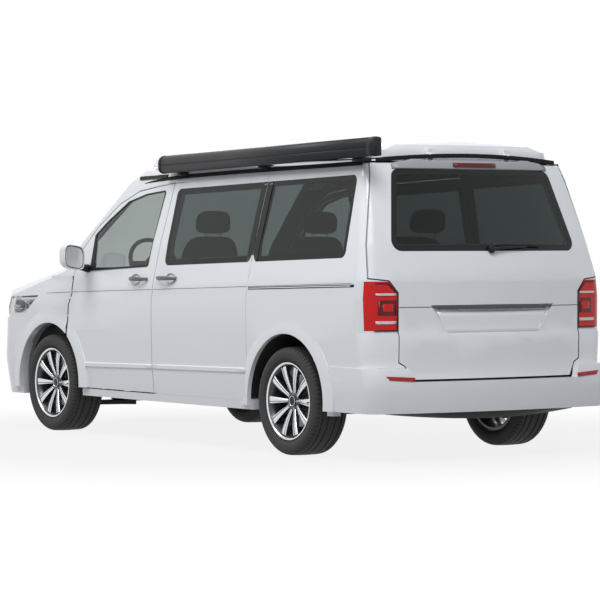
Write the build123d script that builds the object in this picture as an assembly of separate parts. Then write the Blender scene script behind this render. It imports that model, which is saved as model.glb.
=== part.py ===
"""Compact camper van with a lifting roof, sliding side doors, a tailgate and a side awning.

Frame: +X is the vehicle's left, +Y its rear, +Z up. The origin is on the ground, at the centre
of the overall box. All sizes are in millimetres.
"""

import os
from collections import namedtuple
from math import atan, cos, degrees, radians, sin

from build123d import *

# ---------------------------------------------------------------- driving dimensions
LENGTH = 4904
WIDTH_OVER_MIRRORS = 2297
BODY_HALF_WIDTH = 945
HEIGHT = 1990
WHEELBASE = 3000
FRONT_OVERHANG = 908
TRACK = 1628
TYRE_RADIUS = 343
TYRE_WIDTH = 255
RIM_RADIUS = 229
ARCH_RADIUS = 426
FLARE_RADIUS = 516      # where an arch's flare fades into the side
FLARE_LIP = 9           # how far it stands proud at the arch
FLARE_FOOT = 300

PANEL_GAP = 8           # round a panel that opens
FIT = 0.3               # between fixed pieces that seat on each other
SKIN = 8                # the sheet of a wing

FRONT = -LENGTH / 2
REAR = LENGTH / 2
FRONT_AXLE = FRONT + FRONT_OVERHANG
REAR_AXLE = FRONT_AXLE + WHEELBASE
WHEEL_CENTRE_X = TRACK / 2

# heights of the body's main lines at y = 0; every line above the sill rises to the rear
RISE = 0.03
SILL_TOP = 324
BELT = 1187
WINDOW_TOP = 1700
DOOR_TOP = 1745
ROOF_EDGE = 1785
WAIST = 1080            # where the sides start to lean in
CREASE = 938            # the lower edge of the bright band along the side
SHOULDER_LINE = 1028    # the line along its top
LEDGE = 778             # the step across the tail, under the lamps
FLOOR_TOP = 500
FLOOR_THICKNESS = 40

# stations along the side
DOOR_FRONT = FRONT_AXLE + 304
B_PILLAR = FRONT_AXLE + 1382
C_PILLAR = FRONT_AXLE + 2547
LEAN = 0.125            # the pillars lean back above the waist
QUARTER_GLASS_REAR = REAR_AXLE + 595
BULKHEAD = FRONT_AXLE + 250
WINDSCREEN_TOP = 1795
REAR_BUMPER_FRONT = REAR_AXLE + 480
REAR_BUMPER_TOP = 575
TAILGATE_BOTTOM = 500
TAILGATE_TOP = 1838
LAMP_BOTTOM = 805
LAMP_TOP = 1105
LAMP_INNER = 706
LAMP_FRONT = REAR - 182

EPS = 200               # how far a cutting prism runs past the body


def rise(y, height):
    """Height at y of a line that is at the given height at y = 0."""
    return height + RISE * y


# ---------------------------------------------------------------- shape helpers
def box(x, y, z):
    """A box from three (low, high) pairs."""
    size = [high - low for low, high in (x, y, z)]
    middle = [(low + high) / 2 for low, high in (x, y, z)]
    return Pos(*middle) * Box(*size)


def outline(points, radius=0):
    """A closed polygon with its corners rounded."""
    face = make_face(Polyline(*points, close=True))
    return fillet(face.vertices(), radius) if radius else face


def side_prism(face, x0=0, x1=BODY_HALF_WIDTH + EPS):
    """A (y, z) outline run along X from x0 to x1."""
    return extrude(Plane.YZ.offset(x0) * face, amount=x1 - x0)


def front_prism(face, y0, y1):
    """An (x, z) outline run along Y from y0 to y1."""
    return extrude(Plane.XZ.offset(-y0) * face, amount=-(y1 - y0))


def rod_x(radius, x0, x1, y, z):
    """A round bar along X."""
    return Pos((x0 + x1) / 2, y, z) * Rot(0, 90, 0) * Cylinder(radius, abs(x1 - x0))


def rod_y(radius, x, y0, y1, z):
    """A round bar along Y."""
    return Pos(x, (y0 + y1) / 2, z) * Rot(90, 0, 0) * Cylinder(radius, abs(y1 - y0))


def turned(section):
    """A ring turned about the wheel's axis from its (x, radius) half section."""
    return revolve(Plane.XY * make_face(Polyline(*section, close=True)), axis=Axis.X)


def mirrored(shape):
    """The same piece on the vehicle's other side."""
    return mirror(shape, about=Plane.YZ)


def both_sides(shape):
    """A node of two like pieces, left and right, that do not touch."""
    return Compound(children=[*shape.solids(), *mirrored(shape).solids()])


# ---------------------------------------------------------------- outer forms
Station = namedtuple("Station", "z half_width front rear front_bow rear_bow "
                                "front_corner rear_corner wall tilt", defaults=(0,))

SCREEN_FOOT = FRONT_AXLE - 196
CABIN = (
    #       z    half  front              rear        bows      corners   wall
    Station(270, -30, SCREEN_FOOT, REAR - 112, 230, 95, 150, 110, 60),
    Station(480, -9, SCREEN_FOOT, REAR - 62, 230, 95, 150, 110, 60),
    Station(LEDGE - 12, 0, SCREEN_FOOT, REAR - 56, 230, 95, 150, 110, 60),
    Station(LEDGE + 12, 0, SCREEN_FOOT, REAR - 68, 230, 95, 150, 110, 60),
    Station(CREASE, 0, SCREEN_FOOT, REAR - 66, 230, 95, 150, 110, 60, RISE),
    Station(SHOULDER_LINE, -11, SCREEN_FOOT, REAR - 66, 230, 95, 150, 110, 60, RISE),
    Station(SHOULDER_LINE + 14, -11, SCREEN_FOOT, REAR - 66, 230, 95, 150, 110, 60, RISE),
    Station(1330, -56, FRONT_AXLE + 132, REAR - 120, 230, 92, 150, 90, 35),
    Station(1750, -145, FRONT_AXLE + 679, REAR - 262, 210, 80, 130, 55, 35),
    Station(1830, -173, FRONT_AXLE + 844, REAR - 292, 200, 78, 150, 55, 35),
    Station(1868, -290, FRONT_AXLE + 1044, REAR - 357, 150, 50, 120, 80, 35),
    Station(1892, -615, FRONT_AXLE + 1344, REAR - 382, 60, 20, 80, 60, 35),
)

NOSE = (
    Station(270, -30, FRONT + 72, BULKHEAD + 60, 150, 0, 250, 0, 60),
    Station(480, -9, FRONT + 47, BULKHEAD + 60, 150, 0, 250, 0, 60),
    Station(CREASE, 0, FRONT + 37, BULKHEAD + 60, 150, 0, 250, 0, 60, RISE),
    Station(SHOULDER_LINE, -11, FRONT + 60, BULKHEAD + 60, 150, 0, 250, 0, 60, RISE),
    Station(1200, -40, FRONT + 92, BULKHEAD + 60, 150, 0, 250, 0, 60),
)

FRONT_BUMPER = (
    Station(250, -25, FRONT + 32, BULKHEAD, 150, 0, 250, 0, 55),
    Station(500, -1, FRONT, BULKHEAD, 150, 0, 250, 0, 55),
    Station(792, 0, FRONT + 22, BULKHEAD, 150, 0, 250, 0, 55),
)

REAR_BUMPER = (
    Station(300, -15, REAR_AXLE, REAR - 22, 0, 80, 0, 120, 55),
    Station(430, -3, REAR_AXLE, REAR, 0, 80, 0, 120, 55),
    Station(510, 0, REAR_AXLE, REAR, 0, 80, 0, 120, 55),
    Station(REAR_BUMPER_TOP, 0, REAR_AXLE, REAR - 20, 0, 80, 0, 120, 55),
)

POP_ROOF = (
    Station(1862, -243, FRONT_AXLE + 884, REAR - 362, 130, 30, 160, 90, 16),
    Station(1915, -258, FRONT_AXLE + 924, REAR - 364, 130, 30, 160, 90, 16),
    Station(1952, -355, FRONT_AXLE + 1024, REAR - 380, 120, 30, 150, 90, 16),
    Station(1972, -600, FRONT_AXLE + 1244, REAR - 412, 80, 20, 120, 80, 16),
)
TOP_STATIONS_FROM = 1700     # above this height a wall is measured down as well as in


def bowed(half_width, y, bow):
    """An edge across the vehicle that bulges out by bow at its middle."""
    if bow == 0:
        return Line((-half_width, y), (half_width, y))
    return ThreePointArc((-half_width, y), (0, y + bow), (half_width, y))


def plan_face(station, inset):
    """The vehicle's rounded outline at one height, drawn in by inset."""
    half_width = BODY_HALF_WIDTH + station.half_width - inset
    front = station.front + station.front_bow + inset
    rear = station.rear - station.rear_bow - inset
    edges = [bowed(half_width, front, -station.front_bow),
             Line((half_width, front), (half_width, rear)),
             bowed(half_width, rear, station.rear_bow),
             Line((-half_width, rear), (-half_width, front))]
    face = make_face(edges)
    ends = face.vertices().group_by(Axis.Y)
    for corners, radius in ((ends[0], station.front_corner), (ends[-1], station.rear_corner)):
        if radius:
            face = fillet(corners, max(radius - inset, 12))
    z = station.z - (inset if station.z > TOP_STATIONS_FROM else 0)
    return Pos(0, 0, z) * Rot(degrees(atan(station.tilt)), 0, 0) * face


def form(stations, inset=0, walls=False):
    """The closed outer form through the stations; walls draws each in by its own wall too."""
    faces = [plan_face(row, inset + (row.wall if walls else 0)) for row in stations]
    return loft(faces, ruled=True)


def flare(axle_y):
    """The raised band round a wheel arch, on the left side and the right."""
    lip = BODY_HALF_WIDTH + FLARE_LIP
    band = Pos(0, axle_y, TYRE_RADIUS) * turned((
        (BODY_HALF_WIDTH - 40, ARCH_RADIUS - 1), (lip, ARCH_RADIUS - 1), (lip, ARCH_RADIUS + 14),
        (BODY_HALF_WIDTH - 1, FLARE_RADIUS), (BODY_HALF_WIDTH - 40, FLARE_RADIUS)))
    band &= box((0, WIDTH_OVER_MIRRORS), (FRONT, REAR), (FLARE_FOOT, HEIGHT))
    return band


# ---------------------------------------------------------------- side outlines (y, z)
def leaned(y, z):
    """A pillar line: upright to the waist and leaning back above it."""
    return y + max(z - WAIST, 0) * LEAN


DOOR_TOP_B = rise(B_PILLAR, DOOR_TOP)
FRONT_DOOR_OPENING = (
    (FRONT_AXLE + 424, SILL_TOP),
    (B_PILLAR, SILL_TOP),
    (B_PILLAR, WAIST),
    (leaned(B_PILLAR, DOOR_TOP_B), DOOR_TOP_B),
    (FRONT_AXLE + 1274, 1722),
    (FRONT_AXLE + 1022, 1690),
    (FRONT_AXLE + 787, 1602),
    (FRONT_AXLE + 562, 1452),
    (FRONT_AXLE + 364, 1270),
    (DOOR_FRONT, 1108),
    (DOOR_FRONT, 978),
    (DOOR_FRONT - 34, 900),
    (DOOR_FRONT - 42, 790),
    (DOOR_FRONT - 70, 690),
    (FRONT_AXLE + 250, SILL_TOP + 60),
)
FRONT_DOOR_GLASS = (
    (FRONT_AXLE + 524, rise(-1020, BELT) - 14),
    (B_PILLAR - 92, rise(-250, BELT) - 2),
    (B_PILLAR - 8, 1694),
    (FRONT_AXLE + 1124, 1672),
    (FRONT_AXLE + 904, 1622),
    (FRONT_AXLE + 669, 1487),
    (FRONT_AXLE + 534, 1392),
)
DOOR_TOP_C = rise(C_PILLAR, DOOR_TOP)
SLIDING_DOOR_OPENING = (
    (B_PILLAR, SILL_TOP),
    (C_PILLAR, SILL_TOP),
    (C_PILLAR, WAIST),
    (leaned(C_PILLAR, DOOR_TOP_C) - 40, DOOR_TOP_C),
    (leaned(B_PILLAR, DOOR_TOP_B), DOOR_TOP_B),
    (B_PILLAR, WAIST),
)


def window(front_low, rear_low, front_high, rear_high):
    """A side window between two y at the belt and two y at its top."""
    return ((front_low, rise(front_low, BELT)), (rear_low, rise(rear_low, BELT)),
            (rear_high, rise(rear_high, WINDOW_TOP)), (front_high, rise(front_high, WINDOW_TOP)))


SLIDING_GLASS = window(B_PILLAR + 115, C_PILLAR - 6, B_PILLAR + 135, C_PILLAR + 36)
QUARTER_GLASS = window(C_PILLAR + 22, QUARTER_GLASS_REAR, C_PILLAR + 62, QUARTER_GLASS_REAR - 15)
GLASS_BORDER = 42       # how far bonded glass overlaps its opening
WINDOW_CORNER = 45
GLASS_DEPTH = (2, 7)    # how deep glass lies under the outer form
REBATE = GLASS_DEPTH[1] + FIT

WINDSCREEN_FOOT = 1160
WINDSCREEN = ((-795, WINDSCREEN_FOOT), (795, WINDSCREEN_FOOT), (665, WINDSCREEN_TOP), (-665, WINDSCREEN_TOP))
TAILGATE_GLASS = ((-725, 1290), (725, 1290), (612, 1798), (-612, 1798))

# the right half of the tailgate's outline, seen from behind, from its foot up (x, z)
TAILGATE_HALF = (
    (630, TAILGATE_BOTTOM),
    (662, REAR_BUMPER_TOP + 10),
    (LAMP_INNER, LAMP_BOTTOM - 195),
    (LAMP_INNER, LAMP_TOP - 70),
    (LAMP_INNER + 60, LAMP_TOP + 4),
    (895, LAMP_TOP + 18),
    (868, 1330),
    (765, 1750),
    (745, TAILGATE_TOP),
)


def symmetric(half):
    """A closed outline from its right half, listed from the foot up."""
    return half + tuple((-x, z) for x, z in reversed(half))


# ---------------------------------------------------------------- shared solids
print("outer forms")
cabin = form(CABIN)
cabin_inner = form(CABIN, walls=True)
glass_skin = form(CABIN, GLASS_DEPTH[0]) - form(CABIN, GLASS_DEPTH[1])
rebate_core = form(CABIN, REBATE)
shell = cabin - cabin_inner
flare_front = flare(FRONT_AXLE)
flare_rear = flare(REAR_AXLE)
arch_front = rod_x(ARCH_RADIUS, 0, BODY_HALF_WIDTH + EPS, FRONT_AXLE, TYRE_RADIUS)
arch_rear = rod_x(ARCH_RADIUS, 0, BODY_HALF_WIDTH + EPS, REAR_AXLE, TYRE_RADIUS)
front_door_hole = outline(FRONT_DOOR_OPENING)
sliding_hole = outline(SLIDING_DOOR_OPENING)
tailgate_hole = outline(symmetric(TAILGATE_HALF))
parts = {}


def bonded(wall, points, radius, prism):
    """A wall with a rebated window, and the glass that lies in the rebate."""
    sheet = outline(points, radius)
    hole = offset(sheet, amount=-GLASS_BORDER)
    seat = offset(sheet, amount=FIT)
    wall = wall - (prism(seat) - rebate_core) - prism(hole)
    return wall, glass_skin & prism(sheet)


def biggest(shape):
    """The largest solid of a cut shape; slivers beside it are dropped."""
    return max(shape.solids(), key=lambda solid: solid.volume)


# ---------------------------------------------------------------- hinges
HINGE_PIN = 8
HINGE_EYE = 12
DOOR_HINGE = (BODY_HALF_WIDTH - 20, DOOR_FRONT - 22)     # x, y of the door's axis
DOOR_HINGE_HEIGHTS = (735, 1000)
DOOR_HINGE_HEIGHT = 50
DOOR_HINGE_ARM = 5      # half the thickness of its arm
POST_INNER = 800
POST_OUTER = 868


def door_hinge_bodies():
    """Barrels with their arms, which reach out from the post behind the wing."""
    x, y = DOOR_HINGE
    pieces = []
    for z in DOOR_HINGE_HEIGHTS:
        pieces.append(Pos(x, y, z) * Cylinder(HINGE_PIN, DOOR_HINGE_HEIGHT))
        pieces.append(box((POST_OUTER - 10, x), (y - DOOR_HINGE_ARM, y + DOOR_HINGE_ARM),
                          (z - DOOR_HINGE_HEIGHT / 2, z + DOOR_HINGE_HEIGHT / 2)))
    return Part() + pieces


def door_hinge_pockets():
    """What a door leaves clear round the barrels and arms through its whole swing."""
    x, y = DOOR_HINGE
    pieces = []
    for z in DOOR_HINGE_HEIGHTS:
        low = z - DOOR_HINGE_HEIGHT / 2 - PANEL_GAP
        high = z + DOOR_HINGE_HEIGHT / 2 + PANEL_GAP
        pieces.append(Pos(x, y, z) * Cylinder(HINGE_PIN + FIT, high - low))
        pieces.append(box((POST_INNER, x), (y - EPS, y + DOOR_HINGE_ARM + 8), (low, high)))
        pieces.append(box((POST_INNER, x + 8), (y - EPS, y), (low, high)))
    pieces.append(box((POST_INNER, x - 20), (y - EPS, y + 8), (SILL_TOP, WAIST + EPS)))
    return Part() + pieces


def hinge_pins(y, z, middles, arm_y, arm_z):
    """Pins along X, each on two arms that reach back to the fixed body."""
    pieces = []
    for x in middles:
        pieces.append(rod_x(HINGE_PIN, x - 34, x + 34, y, z))
        for side in (-1, 1):
            near = x + side * 20
            far = x + side * 34
            pieces.append(box((min(near, far), max(near, far)), arm_y, arm_z))
    return pieces


def hinge_eye(x, y, z, reach_y, reach_z):
    """A moving panel's eye: a round boss with a web into the panel."""
    boss = rod_x(HINGE_EYE, x - 16, x + 16, y, z)
    web = box((x - 16, x + 16), reach_y, reach_z)
    return boss + web - rod_x(HINGE_PIN + FIT, x - 40, x + 40, y, z)


# ---------------------------------------------------------------- body sides
print("body sides")
ROOF_PLANE = side_prism(outline(((FRONT, rise(FRONT, ROOF_EDGE)), (REAR, rise(REAR, ROOF_EDGE)),
                                 (REAR, HEIGHT + EPS), (FRONT, HEIGHT + EPS))))
LAMP_HOLE = outline(((LAMP_FRONT, LAMP_BOTTOM), (REAR + EPS, LAMP_BOTTOM),
                     (REAR + EPS, LAMP_TOP), (LAMP_FRONT - 8, LAMP_TOP)))


def tail_prism(face):
    """An (x, z) outline run through the tail end."""
    return front_prism(face, REAR_AXLE + 550, REAR + EPS)


def tailgate_cut(grow):
    """The tailgate's outline, grown by a gap, through the tail end."""
    return tail_prism(offset(tailgate_hole, amount=grow, kind=Kind.INTERSECTION))


left_half = box((0, WIDTH_OVER_MIRRORS), (FRONT, REAR + EPS), (0, HEIGHT + EPS))
side = (shell & left_half) + flare_rear
side -= ROOF_PLANE
side -= tailgate_cut(PANEL_GAP / 2)
side -= front_prism(offset(outline(WINDSCREEN), amount=FIT), SCREEN_FOOT - EPS, FRONT_AXLE + 1300)
side -= side_prism(offset(front_door_hole, amount=PANEL_GAP / 2, kind=Kind.INTERSECTION))
side -= side_prism(offset(sliding_hole, amount=FIT, kind=Kind.INTERSECTION))
side -= arch_rear
side -= arch_front
side -= box((0, 1200), (REAR_BUMPER_FRONT - FIT, REAR + EPS), (0, REAR_BUMPER_TOP + FIT))
side -= side_prism(offset(LAMP_HOLE, amount=FIT, kind=Kind.INTERSECTION), LAMP_INNER - 20)
side -= box((0, 1200), (FRONT, DOOR_FRONT + 30), (0, WAIST + 22))
side -= box((0, POST_INNER), (FRONT, DOOR_FRONT + 30), (0, WINDSCREEN_FOOT))
side -= box((0, TAILGATE_HALF[-1][0] + PANEL_GAP / 2), (REAR_AXLE + 500, REAR + EPS),
            (TAILGATE_TOP - 20, HEIGHT))
side = biggest(side)
side, quarter_glass = bonded(side, QUARTER_GLASS, WINDOW_CORNER, side_prism)

POST = ((POST_OUTER - 22, 290), (POST_OUTER - 2, 480), (POST_OUTER - 2, WAIST), (838, 1330),
        (748, 1760), (748, 1800), (690, 1800), (690, 1760), (790, 1330), (815, WAIST), (815, 290))
B_POST_Y = (B_PILLAR - 45, B_PILLAR + 45)
POST_FOOT_Z = (285, SILL_TOP - PANEL_GAP)
b_post = front_prism(outline(POST), *B_POST_Y)
b_post += box((820, 890), B_POST_Y, POST_FOOT_Z)
FOOT_POST_Y = (BULKHEAD - 40, DOOR_FRONT + 30)
foot_post = box((POST_INNER, POST_OUTER), FOOT_POST_Y, (600, WAIST + 60)) - arch_front
foot_post += box((POST_INNER, 930), FOOT_POST_Y, (WAIST + 24, WAIST + 60)) & cabin
foot_post -= side_prism(offset(front_door_hole, amount=PANEL_GAP / 2, kind=Kind.INTERSECTION), 860)
side = side + b_post + foot_post + door_hinge_bodies()
side -= ROOF_PLANE
parts["body_side_left"] = side
parts["body_side_right"] = mirrored(side)

print("sliding doors")
sliding = shell & side_prism(offset(sliding_hole, amount=-PANEL_GAP / 2, kind=Kind.INTERSECTION))
sliding += shell & box((600, 1200), (B_PILLAR + 40, C_PILLAR - 40),
                       (SILL_TOP + FIT, SILL_TOP + 40))
sliding, sliding_glass = bonded(sliding, SLIDING_GLASS, WINDOW_CORNER, side_prism)
sliding = biggest(sliding)
parts["sliding_doors"] = both_sides(sliding)
parts["side_glass"] = Compound(children=[*both_sides(sliding_glass).solids(),
                                         *both_sides(quarter_glass).solids()])

# ---------------------------------------------------------------- roof
print("roof")
ROOF_REAR = REAR - 342
APERTURE = ((-520, 520), (FRONT_AXLE + 1294, REAR_AXLE + 250))
roof = shell & (ROOF_PLANE + mirrored(ROOF_PLANE))
roof -= box((-1200, 1200), (ROOF_REAR, REAR + EPS), (0, HEIGHT + EPS))
roof -= front_prism(offset(outline(WINDSCREEN), amount=FIT), SCREEN_FOOT - EPS, FRONT_AXLE + 1300)
roof -= box(*APERTURE, (1500, HEIGHT))
roof = biggest(roof)
TAILGATE_HINGE = (REAR - 322, TAILGATE_TOP + 8)
TAILGATE_HINGE_X = (-430, 430)
roof += hinge_pins(*TAILGATE_HINGE, TAILGATE_HINGE_X,
                   (ROOF_REAR - 30, TAILGATE_HINGE[0] + 4), (TAILGATE_HINGE[1] - 6, TAILGATE_HINGE[1] + 10))
ROOF_HINGE = (ROOF_REAR - 1, 1890)
ROOF_HINGE_X = (-300, 300)
roof += hinge_pins(*ROOF_HINGE, ROOF_HINGE_X, (ROOF_REAR - 20, ROOF_HINGE[0] + 4),
                   (ROOF_HINGE[1] - 46, ROOF_HINGE[1] + 2))
parts["roof_frame"] = roof

pop = form(POP_ROOF) - form(POP_ROOF, walls=True) - form(CABIN, -PANEL_GAP)
pop = biggest(pop)
for x in ROOF_HINGE_X:
    pop += hinge_eye(x, *ROOF_HINGE, (ROOF_HINGE[0] - 36, ROOF_HINGE[0] + 4),
                     (ROOF_HINGE[1] + 9, ROOF_HINGE[1] + 35))
parts["pop_roof"] = pop

AWNING_X = (800, 888)
AWNING_Y = (-175, REAR - 152)
AWNING_DEPTH = 108
AWNING_FOOT = 1800
AWNING_TILT = 0.026
AWNING_INNER_REACH = 730
TRIM_THICKNESS = 7
trim_line = outline(((FRONT_AXLE + 1000, rise(-540, ROOF_EDGE)), (REAR - 330, rise(2120, ROOF_EDGE)),
                     (REAR - 330, rise(2120, ROOF_EDGE) + 22), (FRONT_AXLE + 1000, rise(-540, ROOF_EDGE) + 22)))
trim = (form(CABIN, -TRIM_THICKNESS) - form(CABIN, -FIT)) & side_prism(trim_line, 722)
trim = biggest(trim)
trim_ahead = trim & box((0, 1200), (FRONT, AWNING_Y[0] - 20), (0, HEIGHT))
parts["roof_trim"] = Compound(children=[trim_ahead.solid(), mirrored(trim).solid()])

print("awning")
awning_side = outline(((AWNING_Y[0], AWNING_FOOT),
                       (AWNING_Y[1], AWNING_FOOT + AWNING_TILT * (AWNING_Y[1] - AWNING_Y[0])),
                       (AWNING_Y[1], HEIGHT),
                       (AWNING_Y[0], HEIGHT - AWNING_TILT * (AWNING_Y[1] - AWNING_Y[0]))), 6)
awning_body = side_prism(awning_side, *AWNING_X)
AWNING_BRACKETS = (AWNING_Y[0] + 200, 1000, AWNING_Y[1] - 250)
awning = awning_body
for y in AWNING_BRACKETS:
    low = AWNING_FOOT + AWNING_TILT * (y - AWNING_Y[0])
    awning += box((AWNING_INNER_REACH, AWNING_X[0] + 20), (y - 30, y + 30),
                  (low - 20, low + 20)) - form(CABIN, -FIT)
parts["awning"] = awning

# ---------------------------------------------------------------- front doors
print("front doors")
GLASS_CORNER = 20
door = shell + (flare_front & box((0, WIDTH_OVER_MIRRORS), (DOOR_HINGE[1] - 20, B_PILLAR), (0, HEIGHT)))
door &= side_prism(offset(front_door_hole, amount=-PANEL_GAP / 2, kind=Kind.INTERSECTION))
door -= arch_front
door -= door_hinge_pockets()
door_glass_hole = outline(FRONT_DOOR_GLASS, GLASS_CORNER)
door -= side_prism(offset(door_glass_hole, amount=FIT))
door = biggest(door)
parts["front_door_left"] = door
parts["front_door_right"] = mirrored(door)
door_glass = glass_skin & side_prism(door_glass_hole)
parts["front_door_glass_left"] = door_glass
parts["front_door_glass_right"] = mirrored(door_glass)

MIRROR_Y = (-1105, -955)
MIRROR_Z = (1148, 1325)
MIRROR_INNER = 985
mirror_case = box((MIRROR_INNER, WIDTH_OVER_MIRRORS / 2), MIRROR_Y, MIRROR_Z)
mirror_case = fillet(mirror_case.edges().filter_by(Axis.Y), 40)
mirror_case = fillet(mirror_case.faces().sort_by(Axis.Y)[0].edges(), 32)
mirror_foot = box((900, MIRROR_INNER + 20), (-1090, -1030), (1150, 1185)) - form(CABIN, -FIT)
door_mirror = mirror_case + biggest(mirror_foot)
parts["mirror_left"] = door_mirror
parts["mirror_right"] = mirrored(door_mirror)

# ---------------------------------------------------------------- tailgate
print("tailgate")
tail = shell & tail_prism(offset(tailgate_hole, amount=-PANEL_GAP / 2, kind=Kind.INTERSECTION))


PLATE_RECESS = ((-355, LEDGE + 14), (355, LEDGE + 14), (480, 958), (-480, 958))
PLATE_DEPTH = 14
HANDLE_SLOT = ((-430, 930), (430, 930), (455, 958), (-455, 958))
HANDLE_DEPTH = 34
TAILGATE_EAR_TOP = 1400     # up to here it wraps round the corners only behind its hinge
for pocket, depth in ((PLATE_RECESS, PLATE_DEPTH), (HANDLE_SLOT, HANDLE_DEPTH)):
    tail -= tail_prism(outline(pocket)) - form(CABIN, depth)
tail, tail_glass = bonded(tail, TAILGATE_GLASS, 60, tail_prism)
tail -= box((-1200, 1200), (0, TAILGATE_HINGE[0]), (0, TAILGATE_EAR_TOP))
tail = biggest(tail)
for x in TAILGATE_HINGE_X:
    tail += hinge_eye(x, *TAILGATE_HINGE, (TAILGATE_HINGE[0] - 6, TAILGATE_HINGE[0] + 10),
                      (TAILGATE_TOP - 30, TAILGATE_HINGE[1]))
parts["tailgate"] = tail
parts["tailgate_glass"] = tail_glass

lamp = shell & side_prism(LAMP_HOLE, LAMP_INNER - 20)
lamp -= tailgate_cut(PANEL_GAP / 2)
parts["tail_lamps"] = both_sides(biggest(lamp))

# ---------------------------------------------------------------- nose
print("nose")
RAIL_X = (400, 455)
RAIL_Z = (360, FLOOR_TOP - FLOOR_THICKNESS)
CROSSMEMBER_Y = (FRONT + 170, FRONT + 240)
TOW_EYE_X = 330
TOW_EYE_Z = 430
TOW_EYE_RADIUS = 11
TOW_EYE_LENGTH = 60
INTAKE = ((-400, 350), (400, 350), (470, 500), (-470, 500))
INTAKE_BARS = (376, 472)        # heights of the bars across the intake
BONNET_TOP = ((FRONT - EPS, 700), (FRONT, 925), (FRONT + 35, 965), (FRONT + 150, 1012),
              (FRONT + 450, 1100), (FRONT + 850, 1188), (FRONT + 1300, 1260), (FRONT + 1300, 0),
              (FRONT - EPS, 0))
SHOULDER = ((-1100, 0), (-1100, 900), (-948, 1020), (-890, 1085), (-700, 1118), (0, 1150),
            (700, 1118), (890, 1085), (948, 1020), (1100, 900), (1100, 0))
BONNET_SLOPE = radians(12)
under = side_prism(outline(BONNET_TOP), -1200, 1200)
crown_face = Plane.XZ.offset(-(FRONT - EPS)) * Pos(0, -195) * outline(SHOULDER)
crown = extrude(crown_face, amount=2000, dir=Vector(0, cos(BONNET_SLOPE), sin(BONNET_SLOPE)))
nose = form(NOSE) & under & crown
nose_inner = form(NOSE, SKIN) & (Pos(0, 0, -SKIN) * (under & crown))
nose_shell = nose - nose_inner

BUMPER_TOP = 792
BONNET_REAR = SCREEN_FOOT - 10
# the right half of the bonnet's plan, from its front edge round to the windscreen's foot (x, y)
BONNET_HALF = (
    (700, FRONT - 60),
    (760, FRONT + 250),
    (800, BONNET_REAR + 165),
    (600, BONNET_REAR + 91),
    (400, BONNET_REAR + 40),
    (200, BONNET_REAR + 10),
)
bonnet_plan = outline(symmetric(BONNET_HALF))
bonnet_above = box((-1200, 1200), (FRONT - EPS, 0), (930, 1400))
bonnet_prism = extrude(offset(bonnet_plan, amount=-PANEL_GAP / 2, kind=Kind.INTERSECTION), amount=1500)
bonnet_hole = extrude(offset(bonnet_plan, amount=PANEL_GAP / 2, kind=Kind.INTERSECTION), amount=1500)
bonnet_hole &= box((-1200, 1200), (FRONT - EPS, 0), (930 - PANEL_GAP, 1400))
bonnet = biggest(nose_shell & bonnet_prism & bonnet_above)
HEADLAMP = ((FRONT + 10, 805), (FRONT + 560, 835), (FRONT + 735, 962), (FRONT - EPS, 922),
            (FRONT - EPS, 805))
headlamp_side = side_prism(outline(HEADLAMP), 430)
headlamp = (form(NOSE) & under & crown) - (form(NOSE, 40) & (Pos(0, 0, -40) * (under & crown)))
headlamp = headlamp & headlamp_side
headlamp -= bonnet_hole
parts["headlamps"] = both_sides(biggest(headlamp))
GRILLE_Z = (BUMPER_TOP + 6, 920)
grille = (form(NOSE) & under & crown) - form(NOSE, 30)
grille &= box((-430 + FIT, 430 - FIT), (FRONT - EPS, FRONT + 300), GRILLE_Z)
grille = biggest(grille - bonnet_hole)

wing = nose_shell + (flare_front & box((0, 1200), (FRONT, DOOR_FRONT - 70), (0, HEIGHT)))
wing &= box((0, 1200), (FRONT - EPS, 0), (BUMPER_TOP - 500, 1400))
wing -= bonnet_hole
wing -= side_prism(offset(outline(HEADLAMP), amount=FIT, kind=Kind.INTERSECTION), 430 - FIT)
wing -= side_prism(offset(front_door_hole, amount=PANEL_GAP / 2, kind=Kind.INTERSECTION))
wing -= arch_front
wing -= box((0, 1200), (FRONT - EPS, FRONT_AXLE - 330), (0, BUMPER_TOP + FIT))
wing -= box((0, 440), (FRONT - EPS, 0), (0, 1400))
wing -= box((0, BONNET_HALF[2][0] + PANEL_GAP / 2), (BONNET_REAR - 60, 0), (0, 1400))
wing -= box((0, 1200), (FRONT - EPS, 0), (0, 600))
wing -= form(CABIN, -FIT)
wing = biggest(wing)
parts["front_wings"] = both_sides(wing)

bumper = form(FRONT_BUMPER) + flare_front + mirrored(flare_front) - form(FRONT_BUMPER, walls=True)
bumper &= box((-1200, 1200), (FRONT - EPS, FRONT_AXLE - 330 - FIT), (0, BUMPER_TOP))
bumper -= arch_front + mirrored(arch_front)
bumper -= front_prism(outline(INTAKE, 30), FRONT - EPS, CROSSMEMBER_Y[0] - 5)
parts["front_bumper"] = biggest(bumper)
bar_zone = (form(FRONT_BUMPER, 25) - form(FRONT_BUMPER, 45)) & front_prism(
    offset(outline(INTAKE, 30), amount=-FIT), FRONT - EPS, CROSSMEMBER_Y[0] - 5)
bars = [(bar_zone & box((-600, 600), (FRONT, FRONT_AXLE), (z - 6, z + 6))).solid() for z in INTAKE_BARS]
parts["grille"] = Compound(children=[grille.solid(), *bars])

rear_bumper = form(REAR_BUMPER) + flare_rear + mirrored(flare_rear) - form(REAR_BUMPER, walls=True)
rear_bumper &= box((-1200, 1200), (REAR_BUMPER_FRONT, REAR + EPS), (0, REAR_BUMPER_TOP))
rear_bumper -= tailgate_cut(PANEL_GAP)
rear_bumper -= arch_rear + mirrored(arch_rear)
parts["rear_bumper"] = biggest(rear_bumper)

windscreen = glass_skin & front_prism(outline(WINDSCREEN), SCREEN_FOOT - EPS, FRONT_AXLE + 1300)
parts["windscreen"] = biggest(windscreen)

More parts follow.
